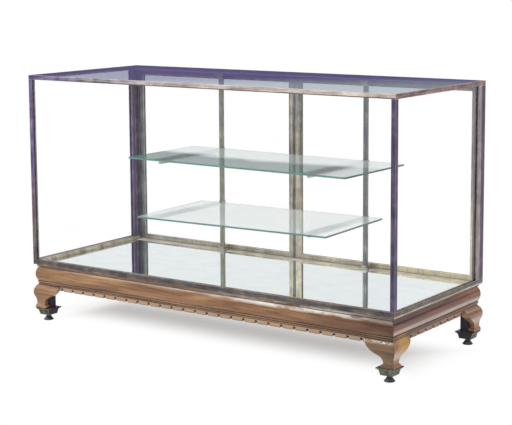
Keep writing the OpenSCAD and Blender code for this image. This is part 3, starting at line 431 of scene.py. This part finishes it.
def tarnished_bars(name, along, stops, zones=(), shade_in_hollows=0.6, rub=0.5):
    """White-metal bars, drawn through a die, plated and left to tarnish. The die leaves fine lines
    along the bar, the tarnish a bloomy layer whose colour drifts from violet-grey to brown and
    khaki, and handling rubs the arrises pale. Each zone is an axis to go along or the faces that look
    along one, where it starts and where it is full, and the colours there: another tint of the tarnish,
    or painted light where the list of bars says so. The lines are 0.1 mm wide; drawn 3 mm wide, so
    they show. The bloomy patches are 40 mm wide. shade_in_hollows is the share of painted shade, with
    dirt, in the recesses, rub the share of bare metal on the arrises."""
    made, tree, out = material(name)
    coords = add(tree, "ShaderNodeTexCoord")
    place = coords.outputs["Object"]
    reach = tuple(0.03 if axis == along else 1.0 for axis in "XYZ")
    lines_place = add(tree, "ShaderNodeMapping", {0: place, 3: reach}).outputs[0]
    lines = add(tree, "ShaderNodeTexNoise", {0: lines_place, "Scale": 300.0, "Detail": 3.0}).outputs[0]
    bloom_and_glint_noise = add(tree, "ShaderNodeTexNoise", {
        0: place, "Scale": 24.0, "Detail": 6.0, "Roughness": 0.6}).outputs[0]
    tone = add(tree, "ShaderNodeMix", {0: 0.5, 2: lines, 3: bloom_and_glint_noise}).outputs[0]
    rounded, pale_arrises = arrises(tree, ARRIS)
    film_and_painted_light = add(tree, "ShaderNodeValToRGB", {0: tone}, stops).outputs[0]
    for field, limits, other in zones:
        source = coords.outputs["Normal" if field.startswith("faces") else "Object"]
        value = add(tree, "ShaderNodeSeparateXYZ", {0: source}).outputs[field[-1]]
        if field.startswith("faces"):
            value = add(tree, "ShaderNodeMath", {0: value}, operation="ABSOLUTE").outputs[0]
        zone_colour = add(tree, "ShaderNodeValToRGB", {0: tone}, other).outputs[0]
        film_and_painted_light = layers(tree, film_and_painted_light, (mask(tree, (value, *limits)), zone_colour))
    # Bare metal on the arrises, and painted shade, with dirt, in the hollows
    soiled_and_shaded = layers(tree, film_and_painted_light, (mask(tree, pale_arrises, rub), "#D9D0C4"),
                    (hollow_shade(tree, 0.006, shade_in_hollows), "#2B2430"))
    bump = add(tree, "ShaderNodeBump", {
        "Strength": 0.15, "Distance": 0.0003, "Height": tone, "Normal": rounded}).outputs[0]
    rough = add(tree, "ShaderNodeMapRange", {0: tone, 1: 0.3, 2: 0.7, 3: 0.30, 4: 0.46}).outputs[0]
    shader = add(tree, "ShaderNodeBsdfPrincipled", {
        "Base Color": soiled_and_shaded, "Metallic": 0.75, "Roughness": rough, "Normal": bump})
    tree.links.new(shader.outputs[0], out.inputs[0])
    return made


def aged_skin(name, stops, metallic, roughness, scale, relief, radius, rim=0.3, under=0.0):
    """A mottled skin whose roughness follows its mottling, with a fine bump, painted shade with dirt in
    its recesses and softened, worn arrises. Faces that look in under the case are painted near black
    as shade. scale is how many patches lie in a metre, relief the bump's strength, radius the arrises'
    in metres, rim the share that is worn pale and under the painted shade's. Each finish below says what it
    is."""
    made, tree, out = material(name)
    place = add(tree, "ShaderNodeTexCoord").outputs["Object"]
    mottle = add(tree, "ShaderNodeTexNoise", {
        0: place, "Scale": scale, "Detail": 5.0, "Roughness": 0.62}).outputs[0]
    rounded, pale_arrises = arrises(tree, radius)
    skin = add(tree, "ShaderNodeValToRGB", {0: mottle}, stops).outputs[0]
    # Coats: the rubbed rim, painted shade with dirt in the hollows, and near-black painted shade on faces
    # that look in under the case
    colour_with_painted_light = layers(
        tree, skin, (mask(tree, pale_arrises, rim), stops[-1][1]), (hollow_shade(tree, 0.005, 0.6), "#1E1A16"),
        (mask(tree, (looking_out(tree, UNDER_CASE), -0.04, -0.10, 0.0, under)), "#1C1730"))
    bump = add(tree, "ShaderNodeBump", {
        "Strength": relief, "Distance": 0.0003, "Height": mottle, "Normal": rounded}).outputs[0]
    rough = add(tree, "ShaderNodeMapRange", {
        0: mottle, 1: 0.3, 2: 0.7, 3: roughness[0], 4: roughness[1]}).outputs[0]
    shader = add(tree, "ShaderNodeBsdfPrincipled", {
        "Base Color": colour_with_painted_light, "Metallic": metallic, "Roughness": rough, "Normal": bump})
    tree.links.new(shader.outputs[0], out.inputs[0])
    return made


# The colours on the bars, dark to light: tarnish tints, some also used for painted light
VIOLET = [(0.34, "#3A324C"), (0.46, "#4F465F"), (0.56, "#665C74"), (0.68, "#8B8394")]
DEEP_VIOLET = [(0.34, "#35205A"), (0.46, "#4A2F78"), (0.56, "#62448F"), (0.68, "#8268AA")]
ORCHID = [(0.34, "#362C3E"), (0.46, "#4A4054"), (0.56, "#5F5366"), (0.68, "#807480")]
LILAC = [(0.34, "#4C3E68"), (0.46, "#66567F"), (0.56, "#857698"), (0.68, "#B4A8BC")]
DUSK = [(0.34, "#463E4C"), (0.46, "#605866"), (0.56, "#7A727C"), (0.68, "#9E979E")]
MILK = [(0.34, "#665C66"), (0.46, "#887C84"), (0.56, "#A4989A"), (0.68, "#CCC2BA")]
BUFF = [(0.34, "#82766A"), (0.46, "#A99C86"), (0.56, "#C4B8A0"), (0.68, "#E6DCBE")]
ROSE = [(0.34, "#54405A"), (0.46, "#6F5670"), (0.56, "#8C6F84"), (0.68, "#AE98A2")]
PLUM = [(0.34, "#3F3244"), (0.46, "#574757"), (0.56, "#6E5C6A"), (0.68, "#8E7E88")]
UMBER = [(0.34, "#46403E"), (0.46, "#5F5854"), (0.56, "#776F68"), (0.68, "#9C9488")]
PALE_ROSE = [(0.36, "#5C5660"), (0.44, "#8B848C"), (0.54, "#B0A8AB"), (0.68, "#DED6D0")]
CREAM_ROSE = [(0.34, "#84766F"), (0.43, "#B8A89E"), (0.54, "#D4C6BA"), (0.68, "#EFE6DA")]
WARM_ROSE = [(0.34, "#5C4650"), (0.46, "#80656A"), (0.56, "#A08480"), (0.68, "#C6AEA2")]
SLATE = [(0.34, "#3E3A3E"), (0.46, "#565053"), (0.56, "#6C6563"), (0.68, "#928A84")]
KHAKI = [(0.34, "#4A4039"), (0.46, "#685C51"), (0.56, "#867868"), (0.68, "#B8AA94")]
OLIVE = [(0.34, "#4F4B46"), (0.46, "#6E6961"), (0.56, "#8A8577"), (0.68, "#B0AA96")]
GREY = [(0.34, "#646869"), (0.46, "#808584"), (0.56, "#9A9F9C"), (0.68, "#BEC3BF")]
BROWN = [(0.34, "#4C403C"), (0.46, "#695A54"), (0.56, "#82726B"), (0.68, "#A6978C")]
TAWNY = [(0.34, "#5C5040"), (0.46, "#847458"), (0.56, "#A3936E"), (0.68, "#D8C998")]
STRAW = [(0.34, "#857A68"), (0.46, "#A89C88"), (0.56, "#C2B8A4"), (0.68, "#E0D8C6")]
GOLD = [(0.34, "#A8946A"), (0.46, "#CFBE8E"), (0.56, "#E4D8AC"), (0.68, "#F5EDCF")]
STEEL = [(0.34, "#69665A"), (0.46, "#838072"), (0.56, "#979482"), (0.68, "#CDC6A8")]
BLUE_STEEL = [(0.34, "#5A5A60"), (0.46, "#6E6E72"), (0.56, "#80807E"), (0.68, "#B4B1A4")]
DARK_STEEL = [(0.34, "#505052"), (0.46, "#636463"), (0.56, "#757571"), (0.68, "#8E8E88")]

# Zones of the bars. Each pair is where another colour starts and where it is full, a tint of the tarnish or
# painted light, as the list of bars says: heights first
SILL_LINE_TOP = (0.2160, 0.2156)
SILL_LINE_FOOT = (0.2136, 0.2132)
SIDE_SILL_FOOT = (0.2170, 0.2166)
DOOR_FOOT = (0.2350, 0.2346)
DOOR_UPPER = (0.68, 0.80)
DOOR_TOP = (0.85, 0.875)
STANDARD_TOP = (0.80, 0.84)
UPPER_HALF = (0.38, 0.55)
POST_LOWER = (0.62, 0.38)
BACK_POST_LOWER = (0.55, 0.38)
RAIL_SOFFIT = (0.8974, 0.8970)
UNDER_RAIL_TOP = (0.9092, 0.9088)
# then places along the case's width
RAIL_MIDDLE_X = (-0.35, 0.15)
RAIL_LEFT_X = (-0.50, -0.62)
DOOR_LEFT_X = (-0.4, -0.6)
DOOR_RIGHT_X = (0.25, 0.5)
DOOR_BEADS_RIGHT_X = (0.2, 0.5)
CASE_BEADS_LEFT_X = (-0.2, -0.5)
MEETING_EDGE_X = (-0.0110, -0.0100)
RIGHT_OF_MIDDLE_X = (-0.1, 0.1)
# then places along its depth
POST_STRIP_Y = (0.258, 0.259)
POST_BACK_Y = (0.268, 0.269)
RIGHT_POST_BACK_Y = (0.270, 0.271)
BACK_HALF_Y = (0.1, 0.2)


def wear(node_names, finish):
    """Gives CAD nodes a finish."""
    for name in node_names:
        mesh = nodes[name].data
        mesh.materials.clear()
        mesh.materials.append(finish)


# Brass, cast and never polished: grey-green verdigris over a dark body, paler on the rims; its faces that
# look in under the case take painted shade
verdigris = aged_skin("cast_brass_verdigris", [
    (0.30, "#2B2E27"), (0.46, "#525648"), (0.60, "#757963"), (0.78, "#B2B49E"),
], metallic=0.4, roughness=(0.42, 0.7), scale=60.0, relief=0.5, radius=0.001, rim=0.8, under=0.9)
# Cast iron, blackened: dark grey with a dusty bloom
iron = aged_skin("blackened_cast_iron", [
    (0.30, "#25262A"), (0.52, "#46474B"), (0.75, "#6C6D6F"),
], metallic=0.5, roughness=(0.4, 0.65), scale=90.0, relief=0.4, radius=0.001)
# Oil paint on pine, brushed: cream gone grey-beige, with dust in the brush marks
cream = aged_skin("cream_oil_paint", [
    (0.30, "#A49C90"), (0.50, "#CCC4B4"), (0.72, "#ECE4D4"),
], metallic=0.0, roughness=(0.45, 0.65), scale=26.0, relief=0.25, radius=0.0012)
# Pine corner blocks, painted nearly black and blue as shade: a painted shadow inside the feet
shadow_dark_pine = aged_skin("pine_painted_shadow_dark", [
    (0.30, "#1D1830"), (0.50, "#2C2542"), (0.75, "#433C58"),
], metallic=0.0, roughness=(0.5, 0.8), scale=40.0, relief=0.4, radius=0.001)
# Drawn half-round brass, lacquered: pale straw with brown freckles
bead_brass = aged_skin("drawn_brass_bead", [
    (0.28, "#6C604A"), (0.44, "#9A8E74"), (0.60, "#BDB298"), (0.80, "#DCD3BC"),
], metallic=0.6, roughness=(0.28, 0.45), scale=34.0, relief=0.15, radius=0.0008)
# Cast and filed brass for the hinges, latch and bolt: darker, with worn lacquer
fitting_brass = aged_skin("cast_brass_fitting", [
    (0.28, "#5E4C2C"), (0.46, "#8E7747"), (0.64, "#B39A63"), (0.82, "#D2BC88"),
], metallic=0.95, roughness=(0.25, 0.42), scale=55.0, relief=0.2, radius=0.0005)
# Nickel plate gone dull and yellowish: grey cream with a haze
nickel = aged_skin("dulled_nickel_plate", [
    (0.25, "#7E7A70"), (0.50, "#A9A597"), (0.80, "#D8D4C4"),
], metallic=0.85, roughness=(0.22, 0.38), scale=30.0, relief=0.1, radius=0.0006)

wear(["base_rail_front", "base_rail_right", "base_rail_back", "base_rail_left", "dentil_strips",
      "foot_front_left", "foot_front_right", "foot_back_right", "foot_back_left"],
     french_polished_mahogany())
wear(["deck_board"], sawn_pine())
wear(["foot_blocks"], shadow_dark_pine)
wear(["mirror_plate"], silvered_plate_glass())
wear(["foot_shoes"], verdigris)
wear([n for n in nodes if n.startswith("leveller_")], iron)
wear(["threshold"], cream)
wear(["mirror_beads"], bead_brass)
wear(["hinge_post_leaves", "hinge_leaves_left", "hinge_leaves_right", "hinge_pins", "latch_knob",
      "latch_tongue", "bolt_plate", "bolt_rod", "bolt_keeper"], fitting_brass)
wear(["standard_flanges", "brackets_upper", "brackets_lower"], nickel)
wear(["glass_front", "glass_left", "glass_right", "door_glass_left", "door_glass_right"],
     sheet_glass("drawn_sheet_glass", "#FFFFFF", smears=0.02, wave=0.08))
wear(["glass_top"], sheet_glass("drawn_sheet_glass_top", "#F3F8FB", smears=0.002, wave=0.01))
wear(["shelf_upper"], shelf_plate_glass(
    "shelf_plate_glass_upper", front_reflection="#62857E", back_film="#DDE5E3", arm_shadow_colour="#3C3E48",
    front_reflection_share=0.62, back_share=0.28))
wear(["shelf_lower"], shelf_plate_glass(
    "shelf_plate_glass_lower", front_reflection="#EAF0EF", back_film="#EEF2F1", arm_shadow_colour="#C6CCCF",
    front_reflection_share=0.35, back_share=0.28))

# The bars: nodes, finish, the axis they run along, film, zones, and the painted shade in the hollows
# and rubbing where they are light. The standards are steel, zinc plated and dulled
for bars, finish_name, along, film_and_painted_light, zones, amounts in (
    (["sill_front"], "tarnished_sill_front", "X", SLATE,
     [("Z", SILL_LINE_TOP, KHAKI), ("Z", SILL_LINE_FOOT, UMBER)], {}),
    (["sill_left", "sill_right"], "tarnished_sill_sides", "Y", UMBER,
     [("Z", SIDE_SILL_FOOT, STRAW), ("faces Z", FACING, KHAKI)], {}),
    (["post_front_left"], "tarnished_post_rose", "Z", LILAC,
     [("Z", POST_LOWER, BROWN), ("faces X", FACING, VIOLET)], {"shade_in_hollows": 0.3}),
    (["post_front_right"], "tarnished_post_violet", "Z", VIOLET, [], {}),
    (["post_back_left"], "tarnished_back_post_left", "Z", DEEP_VIOLET,
     [("Y", POST_STRIP_Y, ROSE), ("Y", POST_BACK_Y, VIOLET)], {"shade_in_hollows": 0.3, "rub": 0.1}),
    # Painted reflection: the back right post is golden low down and paler on its faces that look along X
    (["post_back_right"], "tarnished_back_post_right", "Z", UMBER,
     [("Z", BACK_POST_LOWER, TAWNY), ("faces X", FACING, MILK), ("Y", RIGHT_POST_BACK_Y, ORCHID)], {}),
    # Painted highlight: the front top rail is pale, and paler in its middle. Painted shade: it is darker
    # below RAIL_SOFFIT
    (["top_rail_front"], "tarnished_top_rail_front", "X", PALE_ROSE,
     [("X", RAIL_MIDDLE_X, CREAM_ROSE), ("Z", RAIL_SOFFIT, SLATE), ("X", RAIL_LEFT_X, LILAC)], {}),
    (["top_rail_right"], "tarnished_top_rail_right", "Y", WARM_ROSE, [], {}),
    # Painted highlight: the tops of the left and back top rails are pale
    (["top_rail_left"], "tarnished_top_rail_left", "Y", DEEP_VIOLET,
     [("faces Z", FACING, PALE_ROSE), ("Z", UNDER_RAIL_TOP, DEEP_VIOLET)], {}),
    (["top_rail_back"], "tarnished_top_rail_back", "X", DEEP_VIOLET,
     [("faces Z", FACING, PALE_ROSE), ("Z", UNDER_RAIL_TOP, DEEP_VIOLET)], {}),
    # The doors are painted golden low down and to the right, and grey to violet higher up and to the left:
    # painted reflection. The dark line along the left door's meeting edge is painted shade
    (["door_frame_left"], "tarnished_door_left", "Z", BUFF,
     [("X", DOOR_LEFT_X, GREY), ("Z", DOOR_FOOT, STRAW), ("X", MEETING_EDGE_X, DUSK),
      ("Z", DOOR_TOP, DUSK)], {}),
    (["door_frame_right"], "tarnished_door_right", "Z", BUFF,
     [("Z", DOOR_FOOT, STRAW), ("X", DOOR_RIGHT_X, GOLD), ("Z", DOOR_UPPER, GREY),
      ("Z", DOOR_TOP, DUSK)], {}),
    # Painted shade: the standards are darker at the top, where the top pane lies over them
    (["standard_left", "standard_right"], "dull_zinc_plated_steel", "Z", STEEL,
     [("X", RIGHT_OF_MIDDLE_X, BLUE_STEEL), ("Z", STANDARD_TOP, DARK_STEEL)], {}),
    # The beads are painted golden low down and to the right, and violet to olive in their upper half:
    # painted reflection
    (["glazing_beads", "door_stops"], "tarnished_brass_beads", "Z", TAWNY,
     [("Z", UPPER_HALF, PLUM), ("X", CASE_BEADS_LEFT_X, MILK), ("Y", BACK_HALF_Y, VIOLET)],
     {"shade_in_hollows": 0.15}),
    (["door_beads_left", "door_beads_right"], "tarnished_door_beads", "Z", STRAW,
     [("X", DOOR_BEADS_RIGHT_X, GOLD), ("Z", UPPER_HALF, OLIVE), ("X", DOOR_LEFT_X, GREY)], {}),
):
    wear(bars, tarnished_bars(finish_name, along, film_and_painted_light, zones, **amounts))

# ---------------------------------------------------------------- small fixings


def stand(name, shape, finish):
    """Turns a finished shape into an object at the origin."""
    mesh = bpy.data.meshes.new(name)
    shape.to_mesh(mesh)
    shape.free()
    mesh.materials.append(finish)
    made = bpy.data.objects.new(name, mesh)
    bpy.context.scene.collection.objects.link(made)
    return made


def screw_head():
    """A unit screw head: a disc cut in three by its slot, whose two lands stand up."""
    shape = bmesh.new()
    bmesh.ops.create_circle(shape, cap_ends=True, segments=20, radius=1.0)
    half_slot = 0.15
    for side in (-half_slot, half_slot):
        everything = shape.verts[:] + shape.edges[:] + shape.faces[:]
        bmesh.ops.bisect_plane(shape, geom=everything, plane_co=(side, 0, 0), plane_no=(1, 0, 0))
    lands = [f for f in shape.faces if abs(f.calc_center_median().x) > half_slot]
    raised = bmesh.ops.extrude_face_region(shape, geom=lands)["geom"]
    top = [v for v in raised if isinstance(v, bmesh.types.BMVert)]
    bmesh.ops.translate(shape, verts=top, vec=(0, 0, 0.3))
    bmesh.ops.scale(shape, verts=top, vec=(0.9, 0.9, 1))
    return shape


def pin_head():
    """A unit pin head: a low dome."""
    shape = bmesh.new()
    bmesh.ops.create_icosphere(shape, subdivisions=2, radius=1.0)
    bmesh.ops.scale(shape, verts=shape.verts, vec=(1, 1, 0.45))
    return shape


def thumb_screw():
    """A thumb screw in metres, along +Z from the collar's face: a neck and a thick milled head."""
    shape = bmesh.new()
    millimetres = [(0, 0), (1.8, 0), (1.8, 2.4), (3.9, 2.8), (4.4, 3.3), (4.4, 6.6), (3.9, 7.2), (0, 7.5)]
    verts = [shape.verts.new((r / 1000, 0, z / 1000)) for r, z in millimetres]
    edges = [shape.edges.new(pair) for pair in zip(verts, verts[1:])]
    bmesh.ops.spin(shape, geom=verts + edges, cent=(0, 0, 0), axis=(0, 0, 1), angle=2 * math.pi,
                   steps=18, use_merge=True)
    bmesh.ops.remove_doubles(shape, verts=shape.verts, dist=1e-6)
    return shape


def fixings(name, pattern, size, places, finish, body):
    """One piece of many equal fixings, riding on a body. Each place is a centre and the way the
    fixing points."""
    source = pattern()
    unit = bpy.data.meshes.new("unit")
    source.to_mesh(unit)
    source.free()
    shape = bmesh.new()
    for index, (centre, outward) in enumerate(places):
        known = len(shape.verts)
        shape.from_mesh(unit)
        shape.verts.ensure_lookup_table()
        # Every slot lies at its own angle, as they were driven home
        point = Vector(outward).to_track_quat("Z", "Y").to_matrix().to_4x4()
        turn = point @ Matrix.Rotation(2.1 * index, 4, "Z")
        bmesh.ops.transform(shape, verts=shape.verts[known:], matrix=(
            Matrix.Translation(centre) @ turn @ Matrix.Scale(size, 4)))
    bpy.data.meshes.remove(unit)
    bmesh.ops.recalc_face_normals(shape, faces=shape.faces)
    piece = stand(name, shape, finish)
    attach(piece, body)


OUT, IN, UP, DOWN = (0, 1, 0), (0, -1, 0), (0, 0, 1), (0, 0, -1)
# The faces that the fixings sit on, and the places along them, in metres
LEAF_FACE = 0.29815
PLATE_FACE = 0.29835
BEAD_FACE = 0.28275
HINGE_X = 0.74525
LEAF_SCREW_X = 0.0079
SCREW_LEVELS = [z + step for z in (0.3235, 0.7875) for step in (-0.021, 0.0, 0.021)]
STILE_BEADS_X, STILE_PINS_Z = (0.023, 0.7229), (0.26, 0.408, 0.556, 0.704, 0.852)
RAIL_PINS_X, RAIL_BEADS_Z = (0.08, 0.225, 0.37, 0.515, 0.66), (0.231, 0.876)
BOLT_X = -0.007
PLATE_SCREW_STEP, PLATE_SCREWS_Z = 0.0036, (0.8425, 0.8770)
KEEPER_SCREW_STEP, KEEPER_SCREWS_Z = 0.0063, 0.902
# The screws' distance from the standard's axis, their height and the way they point, foot and top
FLANGE_SCREWS = ((0.0142, 0.2221, UP), (0.0160, 0.8909, DOWN))
MIRROR_BEAD_Z, FRONT_BEAD_Y, SIDE_BEAD_X = 0.22569, -0.29266, 0.73741
THUMB_SCREW_X = ARM_X + 0.0098
SHELF_COLLARS_Z = (("upper_shelf", 0.590), ("lower_shelf", 0.3875))

for body, way in (("door_left", -1), ("door_right", 1)):
    fixings("hinge_screws_" + body, screw_head, 0.0022,
            [((way * (HINGE_X - LEAF_SCREW_X), LEAF_FACE, z), OUT) for z in SCREW_LEVELS],
            fitting_brass, body)
    pins = [((way * x, BEAD_FACE, z), IN) for x in STILE_BEADS_X for z in STILE_PINS_Z]
    pins += [((way * x, BEAD_FACE, z), IN) for x in RAIL_PINS_X for z in RAIL_BEADS_Z]
    fixings("bead_pins_" + body, pin_head, 0.0011, pins, bead_brass, body)
fixings("hinge_screws_posts", screw_head, 0.0022,
        [((way * (HINGE_X + LEAF_SCREW_X), LEAF_FACE, z), OUT) for way in (-1, 1) for z in SCREW_LEVELS],
        fitting_brass, "case")
fixings("bolt_plate_screws", screw_head, 0.0010,
        [((BOLT_X + step, PLATE_FACE, z), OUT)
         for step in (-PLATE_SCREW_STEP, PLATE_SCREW_STEP) for z in PLATE_SCREWS_Z],
        fitting_brass, "door_left")
fixings("bolt_keeper_screws", screw_head, 0.0011,
        [((BOLT_X + step, PLATE_FACE, KEEPER_SCREWS_Z), OUT)
         for step in (-KEEPER_SCREW_STEP, KEEPER_SCREW_STEP)],
        fitting_brass, "case")
fixings("flange_screws", screw_head, 0.0015,
        [((middle + side * off, STANDARD_Y + end * off, level), way)
         for middle in (-ARM_X, ARM_X) for side in (-1, 1) for end in (-1, 1)
         for off, level, way in FLANGE_SCREWS],
        nickel, "case")
bead_pins = [((x / 1000, FRONT_BEAD_Y, MIRROR_BEAD_Z), (0, 1, 1)) for x in range(-665, 666, 190)]
bead_pins += [((way * SIDE_BEAD_X, y, MIRROR_BEAD_Z), (-way, 0, 1))
              for way in (-1, 1) for y in (-0.20, -0.03, 0.14)]
fixings("mirror_bead_pins", pin_head, 0.0012, bead_pins, bead_brass, "case")
for body, level in SHELF_COLLARS_Z:
    fixings("thumb_screws_" + body, thumb_screw, 1.0,
            [((way * THUMB_SCREW_X, STANDARD_Y, level), (way, 0, 0)) for way in (-1, 1)],
            nickel, body)

# ---------------------------------------------------------------- stage

# All in metres. The floor runs out to white past these ends of the shadow, over this width
SHADOW_MIDDLE_X = -0.05
SHADOW_HALF_LENGTH = 0.62
FADE_WIDTH = 0.25
FLOOR_RADIUS = 30
# The pale floor's own glow, which keeps the shadow light
FLOOR_GLOW = 0.42
# The cloth ring. Its colours change from this height up to its top
RING_RADIUS = 25
RING_HEIGHT = 3.7
RING_COLOURS_FROM = 2.4
# The light that the white surroundings give, against 1 for how bright they look
SKY_LIGHT = 0.55
SOFT_BOX_SIZE = 1.6
LAMPS_AIM = (0, 0, 0.4)


def seen(tree):
    """A value that is 1 for the rays that see a thing, and 0 for those that only gather its light."""
    path = add(tree, "ShaderNodeLightPath")
    value = path.outputs["Is Camera Ray"]
    for kind in ("Is Glossy Ray", "Is Transmission Ray"):
        value = add(tree, "ShaderNodeMath", {0: value, 1: path.outputs[kind]},
                    operation="MAXIMUM").outputs[0]
    return value


def keep_stage(name, shape, finish):
    """Turns a shape into a piece of the stage."""
    piece = stand(name, shape, finish)
    return piece


def stage_floor():
    """A pale floor that keeps the object's soft shadow under it and runs out to white round it."""
    made, tree, out = material("pale_studio_floor")
    place = add(tree, "ShaderNodeTexCoord").outputs["Object"]
    x, y = add(tree, "ShaderNodeSeparateXYZ", {0: place}).outputs[:2]
    from_middle = add(tree, "ShaderNodeMath", {0: x, 1: -SHADOW_MIDDLE_X}, operation="ADD").outputs[0]
    wide = add(tree, "ShaderNodeMath", {0: from_middle}, operation="ABSOLUTE").outputs[0]
    deep = add(tree, "ShaderNodeMath", {0: y}, operation="ABSOLUTE").outputs[0]
    past_end = add(tree, "ShaderNodeMath", {0: wide, 1: SHADOW_HALF_LENGTH},
                   operation="SUBTRACT").outputs[0]
    reach = add(tree, "ShaderNodeMath", {0: past_end, 1: deep}, operation="MAXIMUM").outputs[0]
    away = add(tree, "ShaderNodeMapRange", {0: reach, 1: 0.0, 2: FADE_WIDTH},
               interpolation_type="SMOOTHSTEP").outputs[0]
    looked_at = seen(tree)
    matt = add(tree, "ShaderNodeBsdfDiffuse", {0: "#EEEDEC"})
    glow = add(tree, "ShaderNodeEmission", {0: "#FFFFFF", 1: mask(tree, looked_at, FLOOR_GLOW)})
    near = add(tree, "ShaderNodeAddShader", {0: matt.outputs[0], 1: glow.outputs[0]})
    far = add(tree, "ShaderNodeEmission", {0: "#FFFFFF", 1: 1.0})
    mixed = add(tree, "ShaderNodeMixShader", {
        0: mask(tree, looked_at, away), 1: near.outputs[0], 2: far.outputs[0]})
    tree.links.new(mixed.outputs[0], out.inputs[0])
    shape = bmesh.new()
    bmesh.ops.create_circle(shape, cap_ends=True, segments=64, radius=FLOOR_RADIUS)
    keep_stage("floor", shape, made)


def grey_screen():
    """A ring of violet-grey cloth far round the stage that only reflections see. It stands just
    high enough for the flat top pane to show it at a low angle; the shelves look over it."""
    made, tree, out = material("violet_grey_cloth")
    place = add(tree, "ShaderNodeTexCoord").outputs["Object"]
    height = add(tree, "ShaderNodeSeparateXYZ", {0: place}).outputs[2]
    colour = add(tree, "ShaderNodeValToRGB", {0: mask(tree, (height, RING_COLOURS_FROM, RING_HEIGHT))}, [
        (0.0, "#7C7D91"), (0.15, "#69618A"), (0.34, "#69618A"), (0.45, "#939CA6"),
        (0.785, "#939CA6"), (0.94, "#FFFFFF")]).outputs[0]
    cloth = add(tree, "ShaderNodeEmission", {0: colour, 1: 1.0})
    tree.links.new(cloth.outputs[0], out.inputs[0])
    shape = bmesh.new()
    bmesh.ops.create_cone(shape, cap_ends=False, segments=64, radius1=RING_RADIUS, radius2=RING_RADIUS,
                          depth=RING_HEIGHT)
    bmesh.ops.translate(shape, verts=shape.verts, vec=(0, 0, RING_HEIGHT / 2))
    ring = keep_stage("grey_screen", shape, made)
    ring.visible_camera = False
    ring.visible_diffuse = False
    ring.visible_transmission = False
    ring.visible_shadow = False


def studio_world():
    """White to the eye and in reflections, an even pale grey as light."""
    world = bpy.data.worlds.new("studio")
    world.use_nodes = True
    tree = world.node_tree
    tree.nodes.clear()
    strength = add(tree, "ShaderNodeMapRange", {0: seen(tree), 3: SKY_LIGHT, 4: 1.0}).outputs[0]
    sky = add(tree, "ShaderNodeBackground", {0: "#FFFFFF", 1: strength})
    end = add(tree, "ShaderNodeOutputWorld")
    tree.links.new(sky.outputs[0], end.inputs[0])
    bpy.context.scene.world = world


def soft_box(name, place, power):
    """A large square soft box that faces the case."""
    lamp = bpy.data.lights.new(name, "AREA")
    lamp.shape = "SQUARE"
    lamp.size = SOFT_BOX_SIZE
    lamp.energy = power
    holder = bpy.data.objects.new(name, lamp)
    bpy.context.scene.collection.objects.link(holder)
    holder.location = place
    holder.rotation_euler = (Vector(LAMPS_AIM) - Vector(place)).to_track_quat("-Z", "Y").to_euler()


stage_floor()
grey_screen()
studio_world()
soft_box("key_left_front", (-2.2, -2.6, 2.6), power=62)
soft_box("fill_right", (3.0, -1.2, 1.8), power=26)
